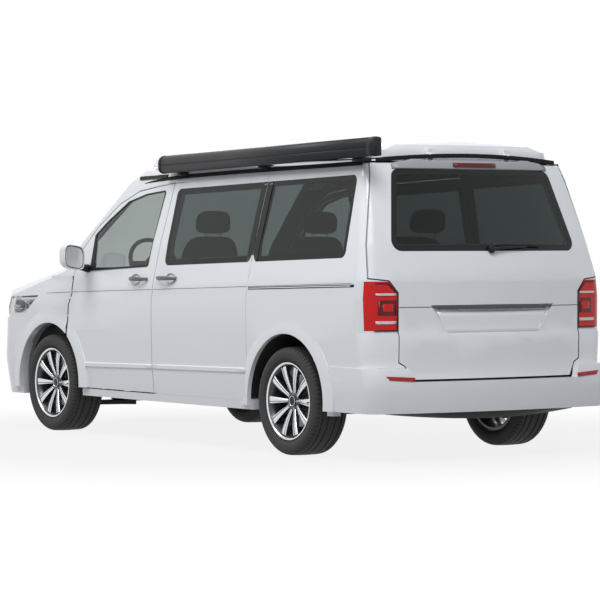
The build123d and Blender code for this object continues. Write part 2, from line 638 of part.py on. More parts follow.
# ---------------------------------------------------------------- floor and bulkhead
print("floor, cab and seats")
FLOOR_FRONT = BULKHEAD
FLOOR_REAR = REAR - 140
LOAD_BOARD = ((-600, 600), (REAR_AXLE + 219, FLOOR_REAR - 62))
LOAD_BOARD_THICKNESS = 12
LINER_INNER_FRONT = 470
LINER_INNER_REAR = 640
LINER_OUTER_FRONT = 862
LINER_OUTER_REAR = 925
LINER_WALL = 6
floor_outline = plan_face(CABIN[1], CABIN[1].wall + PANEL_GAP)
floor = extrude(Pos(0, 0, FLOOR_TOP - FLOOR_THICKNESS - CABIN[1].z) * floor_outline,
                amount=FLOOR_THICKNESS)
floor &= box((-1200, 1200), (FLOOR_FRONT, FLOOR_REAR), (0, FLOOR_TOP))
for side_sign in (1, -1):
    for axle_y, inner in ((FRONT_AXLE, LINER_INNER_FRONT), (REAR_AXLE, LINER_INNER_REAR)):
        floor -= rod_x(ARCH_RADIUS, side_sign * (inner - FIT), side_sign * 1200, axle_y, TYRE_RADIUS)
    rail = box(RAIL_X, (CROSSMEMBER_Y[0], FLOOR_REAR), RAIL_Z)
    floor += rail if side_sign > 0 else mirrored(rail)
REAR_PANEL_Y = (FLOOR_REAR - 40, FLOOR_REAR)
floor += box((-600, 600), REAR_PANEL_Y, (RAIL_Z[0], FLOOR_TOP))
floor += box((-520, 520), CROSSMEMBER_Y, (RAIL_Z[0], RAIL_Z[1] + 40))
floor -= rod_y(TOW_EYE_RADIUS, TOW_EYE_X, CROSSMEMBER_Y[0] - 1, CROSSMEMBER_Y[0] + TOW_EYE_LENGTH,
               TOW_EYE_Z)
for side_sign in (1, -1):
    low, high = sorted((side_sign * (815 - FIT), side_sign * 1200))
    floor -= box((low, high), (B_POST_Y[0] - FIT, B_POST_Y[1] + FIT), (0, FLOOR_TOP + 1))
floor += box(*LOAD_BOARD, (FLOOR_TOP, FLOOR_TOP + LOAD_BOARD_THICKNESS))
parts["floor_pan"] = biggest(floor)


def liner(axle_y, inner, outer):
    """A wheel's arch liner: an arched sheet with an inner wall, open below and outside."""
    arch = rod_x(ARCH_RADIUS - FIT, inner, outer, axle_y, TYRE_RADIUS)
    arch -= rod_x(ARCH_RADIUS - FIT - LINER_WALL, inner + LINER_WALL, outer + 1, axle_y, TYRE_RADIUS)
    return arch & box((0, 1200), (axle_y - 600, axle_y + 600), (TYRE_RADIUS, 1000))


liners = [liner(FRONT_AXLE, LINER_INNER_FRONT, LINER_OUTER_FRONT),
          liner(REAR_AXLE, LINER_INNER_REAR, LINER_OUTER_REAR)]
liners += [mirrored(item) for item in liners]
parts["arch_liners"] = Compound(children=[item.solid() for item in liners])

SHELF_Z = (975, 1005)
SCUTTLE_WALL = 30
bulkhead_line = outline(((BULKHEAD + 14, FLOOR_TOP), (BULKHEAD + 14, SHELF_Z[1]),
                         (SCREEN_FOOT, SHELF_Z[1]), (SCREEN_FOOT, SHELF_Z[0]),
                         (BULKHEAD, SHELF_Z[0]), (BULKHEAD, FLOOR_TOP)))
bulkhead = side_prism(bulkhead_line, -POST_INNER + FIT, POST_INNER - FIT) & cabin
scuttle = cabin - form(CABIN, SCUTTLE_WALL)
scuttle &= box((-POST_INNER + FIT, POST_INNER - FIT), (SCREEN_FOOT - EPS, BULKHEAD - 60),
               (SHELF_Z[0], WINDSCREEN_FOOT - FIT))
bulkhead += scuttle
for side_sign in (1, -1):
    bulkhead -= rod_x(ARCH_RADIUS, side_sign * (LINER_INNER_FRONT - FIT), side_sign * 1200,
                      FRONT_AXLE, TYRE_RADIUS)
BONNET_HINGE = (SCREEN_FOOT + 60, 1094)
BONNET_HINGE_X = (-600, 600)
BONNET_ARM_DROP = 40
BONNET_ARM_REACH = 125     # back from the pins to the scuttle
bulkhead += hinge_pins(*BONNET_HINGE, BONNET_HINGE_X, (BONNET_HINGE[0] - 8, BONNET_HINGE[0] + 8),
                       (BONNET_HINGE[1] - BONNET_ARM_DROP, BONNET_HINGE[1] + 8))
for x in BONNET_HINGE_X:
    bulkhead += box((x - 34, x + 34), (BONNET_HINGE[0] - 8, BONNET_HINGE[0] + BONNET_ARM_REACH),
                    (BONNET_HINGE[1] - BONNET_ARM_DROP, BONNET_HINGE[1] - BONNET_ARM_DROP + 16))
parts["bulkhead"] = biggest(bulkhead)
for x in BONNET_HINGE_X:
    bonnet += hinge_eye(x, *BONNET_HINGE, (BONNET_HINGE[0] - 10, BONNET_HINGE[0] + 10),
                        (BONNET_HINGE[1], BONNET_HINGE[1] + 38))
parts["bonnet"] = bonnet

# ---------------------------------------------------------------- cab
STEERING_X = 420
STEERING_Y = -980
STEERING_Z = 1190
STEERING_RAKE = 25          # degrees of the column above level
RIM_CENTRE_RADIUS = 184
RIM_THICKNESS = 15
COLUMN_PIN = 9
DASH_HALF_WIDTH = 826
DASH_FRONT = BULKHEAD + 14 + FIT
dash_line = outline(((DASH_FRONT, 620), (DASH_FRONT, 1090), (DASH_FRONT + 60, 1140), (-1080, 1160),
                     (-985, 1118), (-955, 1020), (-1060, 880), (-1110, 620)))
dash_line = fillet(dash_line.vertices(), 18)
dashboard = side_prism(dash_line, -DASH_HALF_WIDTH, DASH_HALF_WIDTH)
dashboard -= box((-1200, -POST_INNER + 20), (BULKHEAD, DOOR_FRONT + 60), (0, 1300))
dashboard -= box((POST_INNER - 20, 1200), (BULKHEAD, DOOR_FRONT + 60), (0, 1300))
for side_sign in (1, -1):
    dashboard -= rod_x(ARCH_RADIUS, side_sign * (LINER_INNER_FRONT - FIT), side_sign * 1200,
                       FRONT_AXLE, TYRE_RADIUS)
dashboard &= form(CABIN, FIT, walls=True)
steering_frame = Plane(origin=(STEERING_X, STEERING_Y, STEERING_Z), x_dir=(-1, 0, 0),
                       z_dir=(0, cos(radians(STEERING_RAKE)), sin(radians(STEERING_RAKE))))
column = steering_frame * (Pos(0, 0, -130) * Cylinder(34, 200))
column += steering_frame * (Pos(0, 0, -15) * Cylinder(COLUMN_PIN, 40))
hood = steering_frame * (Pos(0, 130, -150) * Rot(0, 90, 0) * Cylinder(80, 330))
dashboard = dashboard + column + (hood & box((200, 640), (-1300, -1000), (1100, 1400)))
parts["dashboard"] = biggest(dashboard)

wheel_rim = Torus(RIM_CENTRE_RADIUS, RIM_THICKNESS)
hub = Pos(0, 0, 5) * Cylinder(58, 40)
spokes = [Rot(0, 0, turn) * (Pos(RIM_CENTRE_RADIUS / 2, 0, 0) * Box(RIM_CENTRE_RADIUS, 36, 14))
          for turn in (0, 180, 270)]
steering = wheel_rim + hub + spokes
steering -= Pos(0, 0, -14) * Cylinder(COLUMN_PIN + 0.05, 40)
parts["steering_wheel"] = steering_frame * steering

SEAT_X = 445
SEAT_WIDTH = 500
SEAT_BASE = FLOOR_TOP + FIT
SEAT_TOP = 905


def seat(x, width, back_y, heads, head_z=1382, shoulder=1380):
    """A seat on its box: cushion, reclined backrest and headrests on two stems each."""
    plinth = box((x - width / 2 + 40, x + width / 2 - 40), (back_y - 440, back_y - 20),
                 (SEAT_BASE, SEAT_TOP - 140))
    cushion = box((x - width / 2, x + width / 2), (back_y - 540, back_y + 10),
                  (SEAT_TOP - 142, SEAT_TOP))
    cushion = fillet(cushion.edges().filter_by(Axis.X), 45)
    back = outline(((back_y - 40, SEAT_TOP - 40), (back_y + 95, SEAT_TOP - 40),
                    (back_y + 205, shoulder), (back_y + 105, shoulder)), 35)
    back = side_prism(back, x - width / 2, x + width / 2)
    result = plinth + cushion + back
    for head_x in heads:
        head = box((head_x - 135, head_x + 135), (back_y + 108, back_y + 208), (head_z + 22, head_z + 168))
        head = fillet(head.edges().filter_by(Axis.Y), 50)
        result += fillet(head.edges().filter_by(Axis.X), 20)
        for stem in (-60, 60):
            result += box((head_x + stem - 7, head_x + stem + 7), (back_y + 146, back_y + 160),
                          (shoulder - 30, head_z + 40))
    return result


FRONT_SEAT_BACK = -320
parts["front_seats"] = both_sides(seat(SEAT_X, SEAT_WIDTH, FRONT_SEAT_BACK, (SEAT_X,)))
BENCH_X = 172
BENCH_WIDTH = 930
BENCH_BACK = 1440
parts["rear_bench"] = seat(BENCH_X, BENCH_WIDTH, BENCH_BACK, (BENCH_X - 235, BENCH_X + 235))

# ---------------------------------------------------------------- running gear
print("running gear")
ENGINE = ((-RAIL_X[0] + FIT, RAIL_X[0] - FIT), (FRONT + 320, FRONT_AXLE - 90), (340, 900))
parts["engine"] = box(*ENGINE)

HUB_FACE = WHEEL_CENTRE_X + 50      # where the wheel's disc sits on its hub
KINGPIN_X = WHEEL_CENTRE_X - 44
STUB_RADIUS = 30
STUB_CLEARANCE = 0.05
STUB_INNER = WHEEL_CENTRE_X - 60
STUB_OUTER = HUB_FACE + 6
DISC_RADIUS = 165
DISC_X = (WHEEL_CENTRE_X - 12, WHEEL_CENTRE_X + 10)
ARM_Z = (178, 206)
ARM_END = WHEEL_CENTRE_X - 60
KINGPIN_RADIUS = 10
KINGPIN_EYE = 24
KINGPIN_LENGTH = 24

arm = extrude(Pos(0, 0, ARM_Z[0]) * make_face(Polyline(
    (RAIL_X[0] - 60, FRONT_AXLE - 40), (ARM_END, FRONT_AXLE - 22), (ARM_END, FRONT_AXLE + 22),
    (RAIL_X[0] + 20, FRONT_AXLE + 120), (RAIL_X[0] - 60, FRONT_AXLE + 190), close=True)),
    amount=ARM_Z[1] - ARM_Z[0])
kingpin = Pos(KINGPIN_X, FRONT_AXLE, 0)
arm += kingpin * Pos(0, 0, (ARM_Z[0] + ARM_Z[1]) / 2) * Cylinder(KINGPIN_EYE, ARM_Z[1] - ARM_Z[0])
arm += kingpin * Pos(0, 0, ARM_Z[1] + KINGPIN_LENGTH / 2) * Cylinder(KINGPIN_RADIUS, KINGPIN_LENGTH)
subframe = box((-RAIL_X[0], RAIL_X[0]), (FRONT_AXLE - 60, FRONT_AXLE + 220), (206, 260))
subframe += [arm, mirrored(arm)]
for side_sign in (1, -1):
    low = min(side_sign * (RAIL_X[0] - 60), side_sign * RAIL_X[1])
    high = max(side_sign * (RAIL_X[0] - 60), side_sign * RAIL_X[1])
    subframe += box((low, high), (FRONT_AXLE - 60, FRONT_AXLE + 20), (260, RAIL_Z[0] - FIT))
parts["front_subframe"] = subframe

upright = box((STUB_INNER - 24, STUB_INNER + 10), (FRONT_AXLE - 48, FRONT_AXLE + 48),
              (ARM_Z[1] + FIT, TYRE_RADIUS + 90))
upright += rod_x(STUB_RADIUS + 22, STUB_INNER - 24, STUB_INNER + 24, FRONT_AXLE, TYRE_RADIUS)
upright += rod_x(STUB_RADIUS, STUB_INNER, STUB_OUTER, FRONT_AXLE, TYRE_RADIUS)
STRUT_X = WHEEL_CENTRE_X - 175
STRUT_Z = (TYRE_RADIUS + 40, 715)
upright += Pos(STRUT_X, FRONT_AXLE, sum(STRUT_Z) / 2) * Cylinder(28, STRUT_Z[1] - STRUT_Z[0])
upright += box((STRUT_X, STUB_INNER), (FRONT_AXLE - 22, FRONT_AXLE + 22), (TYRE_RADIUS + 44, TYRE_RADIUS + 88))
CALIPER_Y = (FRONT_AXLE + 95, FRONT_AXLE + 178)
caliper = box((DISC_X[0] - 42, DISC_X[0] - 6), CALIPER_Y, (TYRE_RADIUS - 70, TYRE_RADIUS + 70))
caliper += box((STUB_INNER - 20, DISC_X[0] - 10), (FRONT_AXLE + 20, CALIPER_Y[0] + 20),
               (TYRE_RADIUS - 30, TYRE_RADIUS + 30))
upright += caliper
upright += kingpin * Pos(0, 0, ARM_Z[1] + FIT + 18) * Cylinder(KINGPIN_EYE - 2, 36)
upright -= kingpin * Pos(0, 0, ARM_Z[1] + KINGPIN_LENGTH / 2) * Cylinder(KINGPIN_RADIUS + STUB_CLEARANCE,
                                                                         KINGPIN_LENGTH + 8)
parts["knuckle_left"] = biggest(upright)
parts["knuckle_right"] = mirrored(parts["knuckle_left"])

AXLE_BEAM_Y = (REAR_AXLE - 330, REAR_AXLE - 230)
axle = box((-RAIL_X[1], RAIL_X[1]), AXLE_BEAM_Y, (230, RAIL_Z[0] - FIT))
for side_sign in (1, -1):
    trailing = extrude(Pos(0, 0, 240) * make_face(Polyline(
        (RAIL_X[0], AXLE_BEAM_Y[0] + 10), (RAIL_X[1] + 40, AXLE_BEAM_Y[0] + 10),
        (STUB_INNER + 4, REAR_AXLE - 60), (STUB_INNER + 4, REAR_AXLE + 50),
        (STUB_INNER - 110, REAR_AXLE + 50), (RAIL_X[0], AXLE_BEAM_Y[1]), close=True)), amount=80)
    trailing += rod_x(STUB_RADIUS + 22, STUB_INNER - 60, STUB_INNER + 24, REAR_AXLE, TYRE_RADIUS)
    trailing += rod_x(STUB_RADIUS, STUB_INNER, STUB_OUTER, REAR_AXLE, TYRE_RADIUS)
    trailing += box((STUB_INNER - 60, STUB_INNER), (REAR_AXLE - 45, REAR_AXLE + 45), (300, TYRE_RADIUS + 40))
    trailing = trailing.solid()
    axle += trailing if side_sign > 0 else mirrored(trailing)
parts["rear_axle"] = axle

TANK = ((20, RAIL_X[0] - FIT), (B_PILLAR - 420, B_PILLAR + 520), (245, RAIL_Z[1] - FIT))
tank = box(*TANK)
parts["fuel_tank"] = fillet(tank.edges().filter_by(Axis.Y), 40)

PIPE_RADIUS = 32
PIPE_X = -150
PIPE_Z = 330
EXHAUST_RUN = ((PIPE_X, ENGINE[1][1] + FIT, PIPE_Z), (PIPE_X, REAR_AXLE - 620, PIPE_Z),
               (PIPE_X - 40, REAR_AXLE - 390, PIPE_Z + 84), (PIPE_X - 40, REAR_AXLE + 350, PIPE_Z + 84))
SILENCER_Y = REAR_AXLE + 420
SILENCER_X = (PIPE_X - 240, PIPE_X + 180)
exhaust = rod_x(92, *SILENCER_X, SILENCER_Y, PIPE_Z + 30)
for x in (SILENCER_X[0] + 60, SILENCER_X[1] - 60):
    exhaust += box((x - 15, x + 15), (SILENCER_Y - 20, SILENCER_Y + 20),
                   (PIPE_Z + 60, RAIL_Z[1] - FIT))
for start, end in zip(EXHAUST_RUN[:-1], EXHAUST_RUN[1:]):
    direction = Vector(*end) - Vector(*start)
    run = Plane(origin=start, z_dir=direction) * (Pos(0, 0, direction.length / 2)
                                                  * Cylinder(PIPE_RADIUS, direction.length))
    exhaust += run
    exhaust += Pos(*end) * Sphere(PIPE_RADIUS)
exhaust += rod_y(PIPE_RADIUS - 4, PIPE_X - 190, SILENCER_Y, SILENCER_Y + 260, PIPE_Z - 10)
parts["exhaust"] = exhaust

# ---------------------------------------------------------------- wheels
print("wheels")
RIM_INNER = WHEEL_CENTRE_X - 112
RIM_OUTER = WHEEL_CENTRE_X + 112
FLANGE_RADIUS = RIM_RADIUS + 17
BARREL_WALL = 8
SPOKES = 10
SPOKE_FOOT = 58
SPOKE_FOOT_SIZE = (30, 15)      # depth along the axle, width
SPOKE_TIP_SIZE = (24, 46)
CAP_RADIUS = 32
# half section of the rim, (x, radius) from the inner flange round to the outer one
RIM_SECTION = (
    (RIM_INNER, FLANGE_RADIUS), (RIM_INNER + 8, FLANGE_RADIUS), (RIM_INNER + 12, RIM_RADIUS),
    (RIM_INNER + 60, RIM_RADIUS - 2), (RIM_INNER + 85, RIM_RADIUS - 16),
    (RIM_OUTER - 50, RIM_RADIUS - 16), (RIM_OUTER - 34, RIM_RADIUS - 2), (RIM_OUTER - 12, RIM_RADIUS),
    (RIM_OUTER - 8, FLANGE_RADIUS), (RIM_OUTER, FLANGE_RADIUS), (RIM_OUTER, FLANGE_RADIUS - 12),
    (RIM_OUTER - 26, RIM_RADIUS - 22), (RIM_OUTER - 56, RIM_RADIUS - 26),
    (RIM_INNER + 85, RIM_RADIUS - 26), (RIM_INNER + 60, RIM_RADIUS - 12),
    (RIM_INNER, RIM_RADIUS - 6),
)
# half section of the tyre, from bead to bead over the tread
TYRE_SECTION = (
    (RIM_INNER + 12.5, RIM_RADIUS + FIT), (RIM_INNER + 8.5, FLANGE_RADIUS + 1),
    (RIM_INNER - 8, RIM_RADIUS + 40),
    (WHEEL_CENTRE_X - TYRE_WIDTH / 2, RIM_RADIUS + 62),
    (WHEEL_CENTRE_X - TYRE_WIDTH / 2 + 9, TYRE_RADIUS - 20), (WHEEL_CENTRE_X - 100, TYRE_RADIUS - 2),
    (WHEEL_CENTRE_X, TYRE_RADIUS), (WHEEL_CENTRE_X + 100, TYRE_RADIUS - 2),
    (WHEEL_CENTRE_X + TYRE_WIDTH / 2 - 9, TYRE_RADIUS - 20),
    (WHEEL_CENTRE_X + TYRE_WIDTH / 2, RIM_RADIUS + 62),
    (RIM_OUTER + 8, RIM_RADIUS + 40), (RIM_OUTER - 8.5, FLANGE_RADIUS + 1),
    (RIM_OUTER - 12.5, RIM_RADIUS + FIT),
)


def wheel_rim_solid():
    """The light-alloy rim with its ten wedge spokes, hub, bearing bore and brake disc."""
    rim = turned(RIM_SECTION)
    rim += rod_x(SPOKE_FOOT + 12, WHEEL_CENTRE_X - 20, HUB_FACE + 26, 0, 0)
    reach = RIM_RADIUS - 20
    spoke = loft([Plane(origin=(HUB_FACE + 8, 0, SPOKE_FOOT - 10), z_dir=(0, 0, 1))
                  * Rectangle(*SPOKE_FOOT_SIZE),
                  Plane(origin=(RIM_OUTER - 20, 0, reach), z_dir=(0, 0, 1))
                  * Rectangle(*SPOKE_TIP_SIZE)], ruled=True)
    for number in range(SPOKES):
        rim += Rot((number + 0.5) * 360 / SPOKES, 0, 0) * spoke
    rim += rod_x(DISC_RADIUS, DISC_X[0], DISC_X[1], 0, 0)
    rim -= rod_x(STUB_RADIUS + STUB_CLEARANCE, WHEEL_CENTRE_X - 40, STUB_OUTER + 3, 0, 0)
    return rim


rim_solid = wheel_rim_solid()
tyre_solid = turned(TYRE_SECTION)
for end, axle_y in (("front", FRONT_AXLE), ("rear", REAR_AXLE)):
    place = Pos(0, axle_y, TYRE_RADIUS)
    parts[f"wheel_{end}_left"] = place * rim_solid
    parts[f"wheel_{end}_right"] = mirrored(place * rim_solid)
    parts[f"tyre_{end}_left"] = place * tyre_solid
    parts[f"tyre_{end}_right"] = mirrored(place * tyre_solid)

os.makedirs("parts", exist_ok=True)
for name, shape in parts.items():
    export_step(shape, f"parts/{name}.step")
    print(name, len(shape.solids()), round(shape.volume / 1e6, 1))
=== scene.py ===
"""Looks of the compact camper van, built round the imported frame. Lengths are in metres.

+X is the vehicle's left, +Y its rear and +Z up; the ground is at z = 0.
"""

from math import atan2, cos, pi, radians, sin, sqrt

import bmesh
import bpy
from mathutils import Matrix, Vector

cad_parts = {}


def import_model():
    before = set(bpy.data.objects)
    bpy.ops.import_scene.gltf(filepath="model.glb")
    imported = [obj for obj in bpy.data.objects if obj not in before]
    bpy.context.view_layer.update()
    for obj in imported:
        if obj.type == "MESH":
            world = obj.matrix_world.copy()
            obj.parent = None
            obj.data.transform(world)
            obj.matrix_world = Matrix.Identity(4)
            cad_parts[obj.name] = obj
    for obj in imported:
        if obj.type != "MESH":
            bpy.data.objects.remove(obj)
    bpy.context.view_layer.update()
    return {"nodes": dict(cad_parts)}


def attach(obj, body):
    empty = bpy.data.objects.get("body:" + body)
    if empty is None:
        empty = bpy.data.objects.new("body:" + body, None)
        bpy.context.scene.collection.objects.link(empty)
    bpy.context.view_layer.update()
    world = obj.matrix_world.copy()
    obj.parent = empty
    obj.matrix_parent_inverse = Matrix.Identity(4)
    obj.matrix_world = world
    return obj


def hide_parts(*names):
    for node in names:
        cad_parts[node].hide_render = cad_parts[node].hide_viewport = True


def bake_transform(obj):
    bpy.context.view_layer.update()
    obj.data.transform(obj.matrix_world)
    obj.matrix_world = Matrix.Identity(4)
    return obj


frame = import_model()
nodes = frame["nodes"]

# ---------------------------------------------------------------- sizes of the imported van
REAR = 2.452
FRONT_AXLE = -1.544
AXLES = {"front": FRONT_AXLE, "rear": 1.456}
WHEEL_X = 0.814
WHEEL_Z = 0.343
RISE = 0.03             # how much the side's lines climb to the rear
BELT = 1.187
WINDOW_TOP = 1.700
B_PILLAR = -0.162
C_PILLAR = 1.003
QUARTER_REAR = 2.051
SIDES = ((1, "left"), (-1, "right"))

# the side's half width at each height, and the tail's (height, half width, rear, bow)
SIDE_STATIONS = ((0.270, 0.915), (0.480, 0.936), (0.766, 0.945), (0.938, 0.945), (1.028, 0.934),
                 (1.042, 0.934), (1.330, 0.889), (1.750, 0.800), (1.830, 0.772))
TAIL_STATIONS = ((0.270, 0.915, REAR - 0.112, 0.095), (0.480, 0.936, REAR - 0.062, 0.095),
                 (0.766, 0.945, REAR - 0.056, 0.095), (0.790, 0.945, REAR - 0.068, 0.095),
                 (1.009, 0.945, REAR - 0.066, 0.095), (1.099, 0.934, REAR - 0.066, 0.095),
                 (1.113, 0.934, REAR - 0.066, 0.095), (1.330, 0.889, REAR - 0.120, 0.092),
                 (1.750, 0.800, REAR - 0.262, 0.080), (1.830, 0.772, REAR - 0.292, 0.078))
BUMPER_STATIONS = ((0.300, 0.930, REAR - 0.022, 0.080), (0.430, 0.942, REAR, 0.080),
                   (0.510, 0.945, REAR, 0.080), (0.575, 0.945, REAR - 0.020, 0.080))
# the front wing's rear edge at each height (height, y)
WING_REAR = ((0.30, -1.150), (0.39, -1.298), (0.690, -1.314), (0.790, -1.286), (0.900, -1.278),
             (0.978, -1.244), (1.30, -1.244))


def along(stations, z):
    """The values of a station table at height z, worked out between its neighbours."""
    if z <= stations[0][0]:
        return stations[0][1:]
    for low, high in zip(stations[:-1], stations[1:]):
        if z <= high[0]:
            share = (z - low[0]) / (high[0] - low[0])
            return tuple(a + share * (b - a) for a, b in zip(low[1:], high[1:]))
    return stations[-1][1:]


def side_x(z, y=0.0):
    """Half width of the flat of the side; the lines near the crease climb with y."""
    climb = RISE * y if 0.85 < z < 1.10 else 0.0
    return along(SIDE_STATIONS, z - climb)[0]


def bowed_y(stations, x, z):
    """How far back a bowed end reaches at (x, z)."""
    half, rear, bow = along(stations, z)
    radius = (half * half + bow * bow) / (2 * bow)
    return rear - (radius - sqrt(radius * radius - x * x))


def rise(y, height):
    """The height of a line that climbs to the rear."""
    return height + RISE * y


def span(low, high, parts):
    """Evenly spaced values from low to high, both among them."""
    return [low + (high - low) * k / parts for k in range(parts + 1)]


def circle(count):
    """The (cosine, sine) pairs of evenly spaced turns."""
    return [(cos(2 * pi * k / count), sin(2 * pi * k / count)) for k in range(count)]


def squared(value, power):
    """A cosine or sine raised to a power with its sign kept, for rounded rectangles."""
    return abs(value) ** power * (1 if value > 0 else -1)


def linked(name, data):
    """A new object in the scene."""
    obj = bpy.data.objects.new(name, data)
    bpy.context.scene.collection.objects.link(obj)
    return obj


# ---------------------------------------------------------------- materials
def shader(name):
    """A new material with its node tree and its Principled shader."""
    material = bpy.data.materials.new(name)
    material.use_nodes = True
    return material, material.node_tree, material.node_tree.nodes["Principled BSDF"]


def preset(node, values):
    """Sets a node's inputs, each given by its name or number."""
    for key, value in values.items():
        node.inputs[key].default_value = value


def add_node(tree, kind, inputs=None, **settings):
    """A new node with its settings and then its inputs."""
    node = tree.nodes.new(kind)
    for key, value in settings.items():
        setattr(node, key, value)
    preset(node, inputs or {})
    return node


def wire(tree, *pairs):
    """Links each output socket to its input socket."""
    for source, target in pairs:
        tree.links.new(source, target)


def texture(tree, scale, detail=3.0, stretch=(1, 1, 1)):
    """Noise laid out in the object's own space."""
    place = add_node(tree, "ShaderNodeTexCoord")
    mapping = add_node(tree, "ShaderNodeMapping", {"Scale": stretch})
    noise = add_node(tree, "ShaderNodeTexNoise", {"Scale": scale, "Detail": detail})
    wire(tree, (place.outputs["Object"], mapping.inputs["Vector"]),
         (mapping.outputs["Vector"], noise.inputs["Vector"]))
    return noise.outputs["Fac"]


def waves(tree, scale, axis, distortion=0.0):
    """Bands across one axis of the object's own space."""
    place = add_node(tree, "ShaderNodeTexCoord")
    wave = add_node(tree, "ShaderNodeTexWave", {"Scale": scale, "Distortion": distortion},
                    bands_direction=axis)
    wire(tree, (place.outputs["Object"], wave.inputs["Vector"]))
    return wave.outputs["Fac"]


def mottle(tree, bsdf, noise, colour, low, high, rough=None):
    """Lets a noise vary the colour between two shares of it, and the roughness in a range."""
    dark, light = (tuple(min(1, channel * share) for channel in colour) + (1,)
                   for share in (low, high))
    mix = add_node(tree, "ShaderNodeMix", {6: dark, 7: light}, data_type="RGBA")
    wire(tree, (noise, mix.inputs[0]), (mix.outputs[2], bsdf.inputs["Base Color"]))
    if rough:
        ranger = add_node(tree, "ShaderNodeMapRange", {"From Min": 0.3, "From Max": 0.7,
                                                       "To Min": rough[0], "To Max": rough[1]})
        wire(tree, (noise, ranger.inputs["Value"]),
             (ranger.outputs["Result"], bsdf.inputs["Roughness"]))


def relief(tree, bsdf, height, strength, distance=0.001):
    """A fine relief from a height socket."""
    bump = add_node(tree, "ShaderNodeBump", {"Strength": strength, "Distance": distance})
    wire(tree, (height, bump.inputs["Height"]), (bump.outputs["Normal"], bsdf.inputs["Normal"]))


def mixed(tree, share, first, second, out):
    """Sends a mix of two shaders to an output node."""
    mix = add_node(tree, "ShaderNodeMixShader")
    wire(tree, (share, mix.inputs[0]), (first.outputs[0], mix.inputs[1]),
         (second.outputs[0], mix.inputs[2]), (mix.outputs[0], out.inputs[0]))


def surface(name, colour, rough, metallic=0.0, vary=0.06, scale=6.0, rough_vary=0.04, bump=0.0,
            bump_scale=400.0, coat=0.0, stretch=(1, 1, 1), specular=0.5):
    """A painted, moulded or metal surface: mottled colour and roughness, and a fine relief."""
    material, tree, bsdf = shader(name)
    preset(bsdf, {"Metallic": metallic, "Specular IOR Level": specular, "Coat Weight": coat,
                  "Coat Roughness": 0.04})
    mottle(tree, bsdf, texture(tree, scale, stretch=stretch), colour, 1 - vary, 1 + vary,
           (rough - rough_vary, rough + rough_vary))
    if bump:
        relief(tree, bsdf, texture(tree, bump_scale, 2.0, stretch), bump)
    return material


def glass(name, tint):
    """Tinted glass with a tinted shadow; the tint is barely uneven, as rolled glass is."""
    material, tree, bsdf = shader(name)
    preset(bsdf, {"Transmission Weight": 1.0, "IOR": 1.32, "Roughness": 0.0})
    mottle(tree, bsdf, texture(tree, 1.5), tint, 0.98, 1.02)
    clear = add_node(tree, "ShaderNodeBsdfTransparent", {"Color": tint + (1,)})
    shadow = add_node(tree, "ShaderNodeLightPath").outputs["Is Shadow Ray"]
    out = next(node for node in tree.nodes if node.type == "OUTPUT_MATERIAL")
    mixed(tree, shadow, bsdf, clear, out)
    return material


def ribbed(name, colour, rough, lines, axis, depth=0.4):
    """A lamp lens with moulded ribs across one axis."""
    material, tree, bsdf = shader(name)
    preset(bsdf, {"Specular IOR Level": 0.2, "Coat Weight": 0.2, "Coat Roughness": 0.02})
    mottle(tree, bsdf, texture(tree, 30), colour, 0.9, 1, (rough, rough + 0.03))
    relief(tree, bsdf, waves(tree, lines, axis), depth)
    return material


def weave(name, colour, pitch=900.0):
    """Woven cloth: two crossed sets of threads, a little sheen and worn lighter patches."""
    material, tree, bsdf = shader(name)
    preset(bsdf, {"Sheen Weight": 0.25})
    mottle(tree, bsdf, texture(tree, 9), colour, 0.8, 1.25, (0.80, 0.90))
    both = add_node(tree, "ShaderNodeMath", operation="MULTIPLY")
    for number, axis in enumerate("XZ"):
        wire(tree, (waves(tree, pitch / 6.28, axis, 0.6), both.inputs[number]))
    relief(tree, bsdf, both.outputs["Value"], 0.5, 0.0006)
    return material


PAINT = surface("paint_white", (0.78, 0.80, 0.83), 0.34, vary=0.012, scale=3, coat=0.6)
TRIM = surface("moulded_black", (0.014, 0.015, 0.016), 0.5, bump=0.12, bump_scale=900,
               specular=0.2)
GLOSS_BLACK = surface("gloss_black", (0.008, 0.009, 0.009), 0.16, specular=0.25)
RUBBER = surface("seal_rubber", (0.008, 0.008, 0.009), 0.65, bump=0.1, bump_scale=700,
                 specular=0.15)
AWNING = surface("awning_black", (0.017, 0.018, 0.020), 0.42, bump=0.05, stretch=(1, 0.05, 1),
                 specular=0.25)
CABIN_TRIM = surface("cabin_lining", (0.055, 0.058, 0.062), 0.9, bump=0.05, bump_scale=300,
                     specular=0.1)
HEADLINER = surface("headlining", (0.12, 0.12, 0.12), 0.9, bump=0.05, bump_scale=300,
                    specular=0.1)
DASH = surface("dash_plastic", (0.028, 0.029, 0.031), 0.7, bump=0.1, bump_scale=600,
               specular=0.2)
UNDERBODY = surface("underbody_wax", (0.022, 0.022, 0.023), 0.7, vary=0.3, bump=0.3,
                    bump_scale=120)
ENGINE = surface("cast_block", (0.12, 0.12, 0.12), 0.6, metallic=0.6, vary=0.2, bump=0.3,
                 bump_scale=200)
STEEL = surface("disc_steel", (0.42, 0.42, 0.43), 0.33, metallic=1.0, vary=0.1, scale=40,
                stretch=(1, 30, 30))
EXHAUST = surface("exhaust_steel", (0.35, 0.33, 0.31), 0.4, metallic=1.0, vary=0.25, scale=12)
POLISHED = surface("alloy_polished", (0.72, 0.73, 0.75), 0.22, metallic=1.0, vary=0.05, scale=60)
ALLOY_DARK = surface("alloy_dark", (0.055, 0.058, 0.062), 0.35, metallic=0.5, vary=0.08,
                     coat=0.3)
CHROME = surface("chrome", (0.75, 0.76, 0.78), 0.12, metallic=1.0, vary=0.03)
TYRE = surface("tyre_rubber", (0.028, 0.028, 0.029), 0.78, vary=0.15, bump=0.25, bump_scale=500)
CLEAR_GLASS = glass("clear_glass", (0.56, 0.60, 0.59))
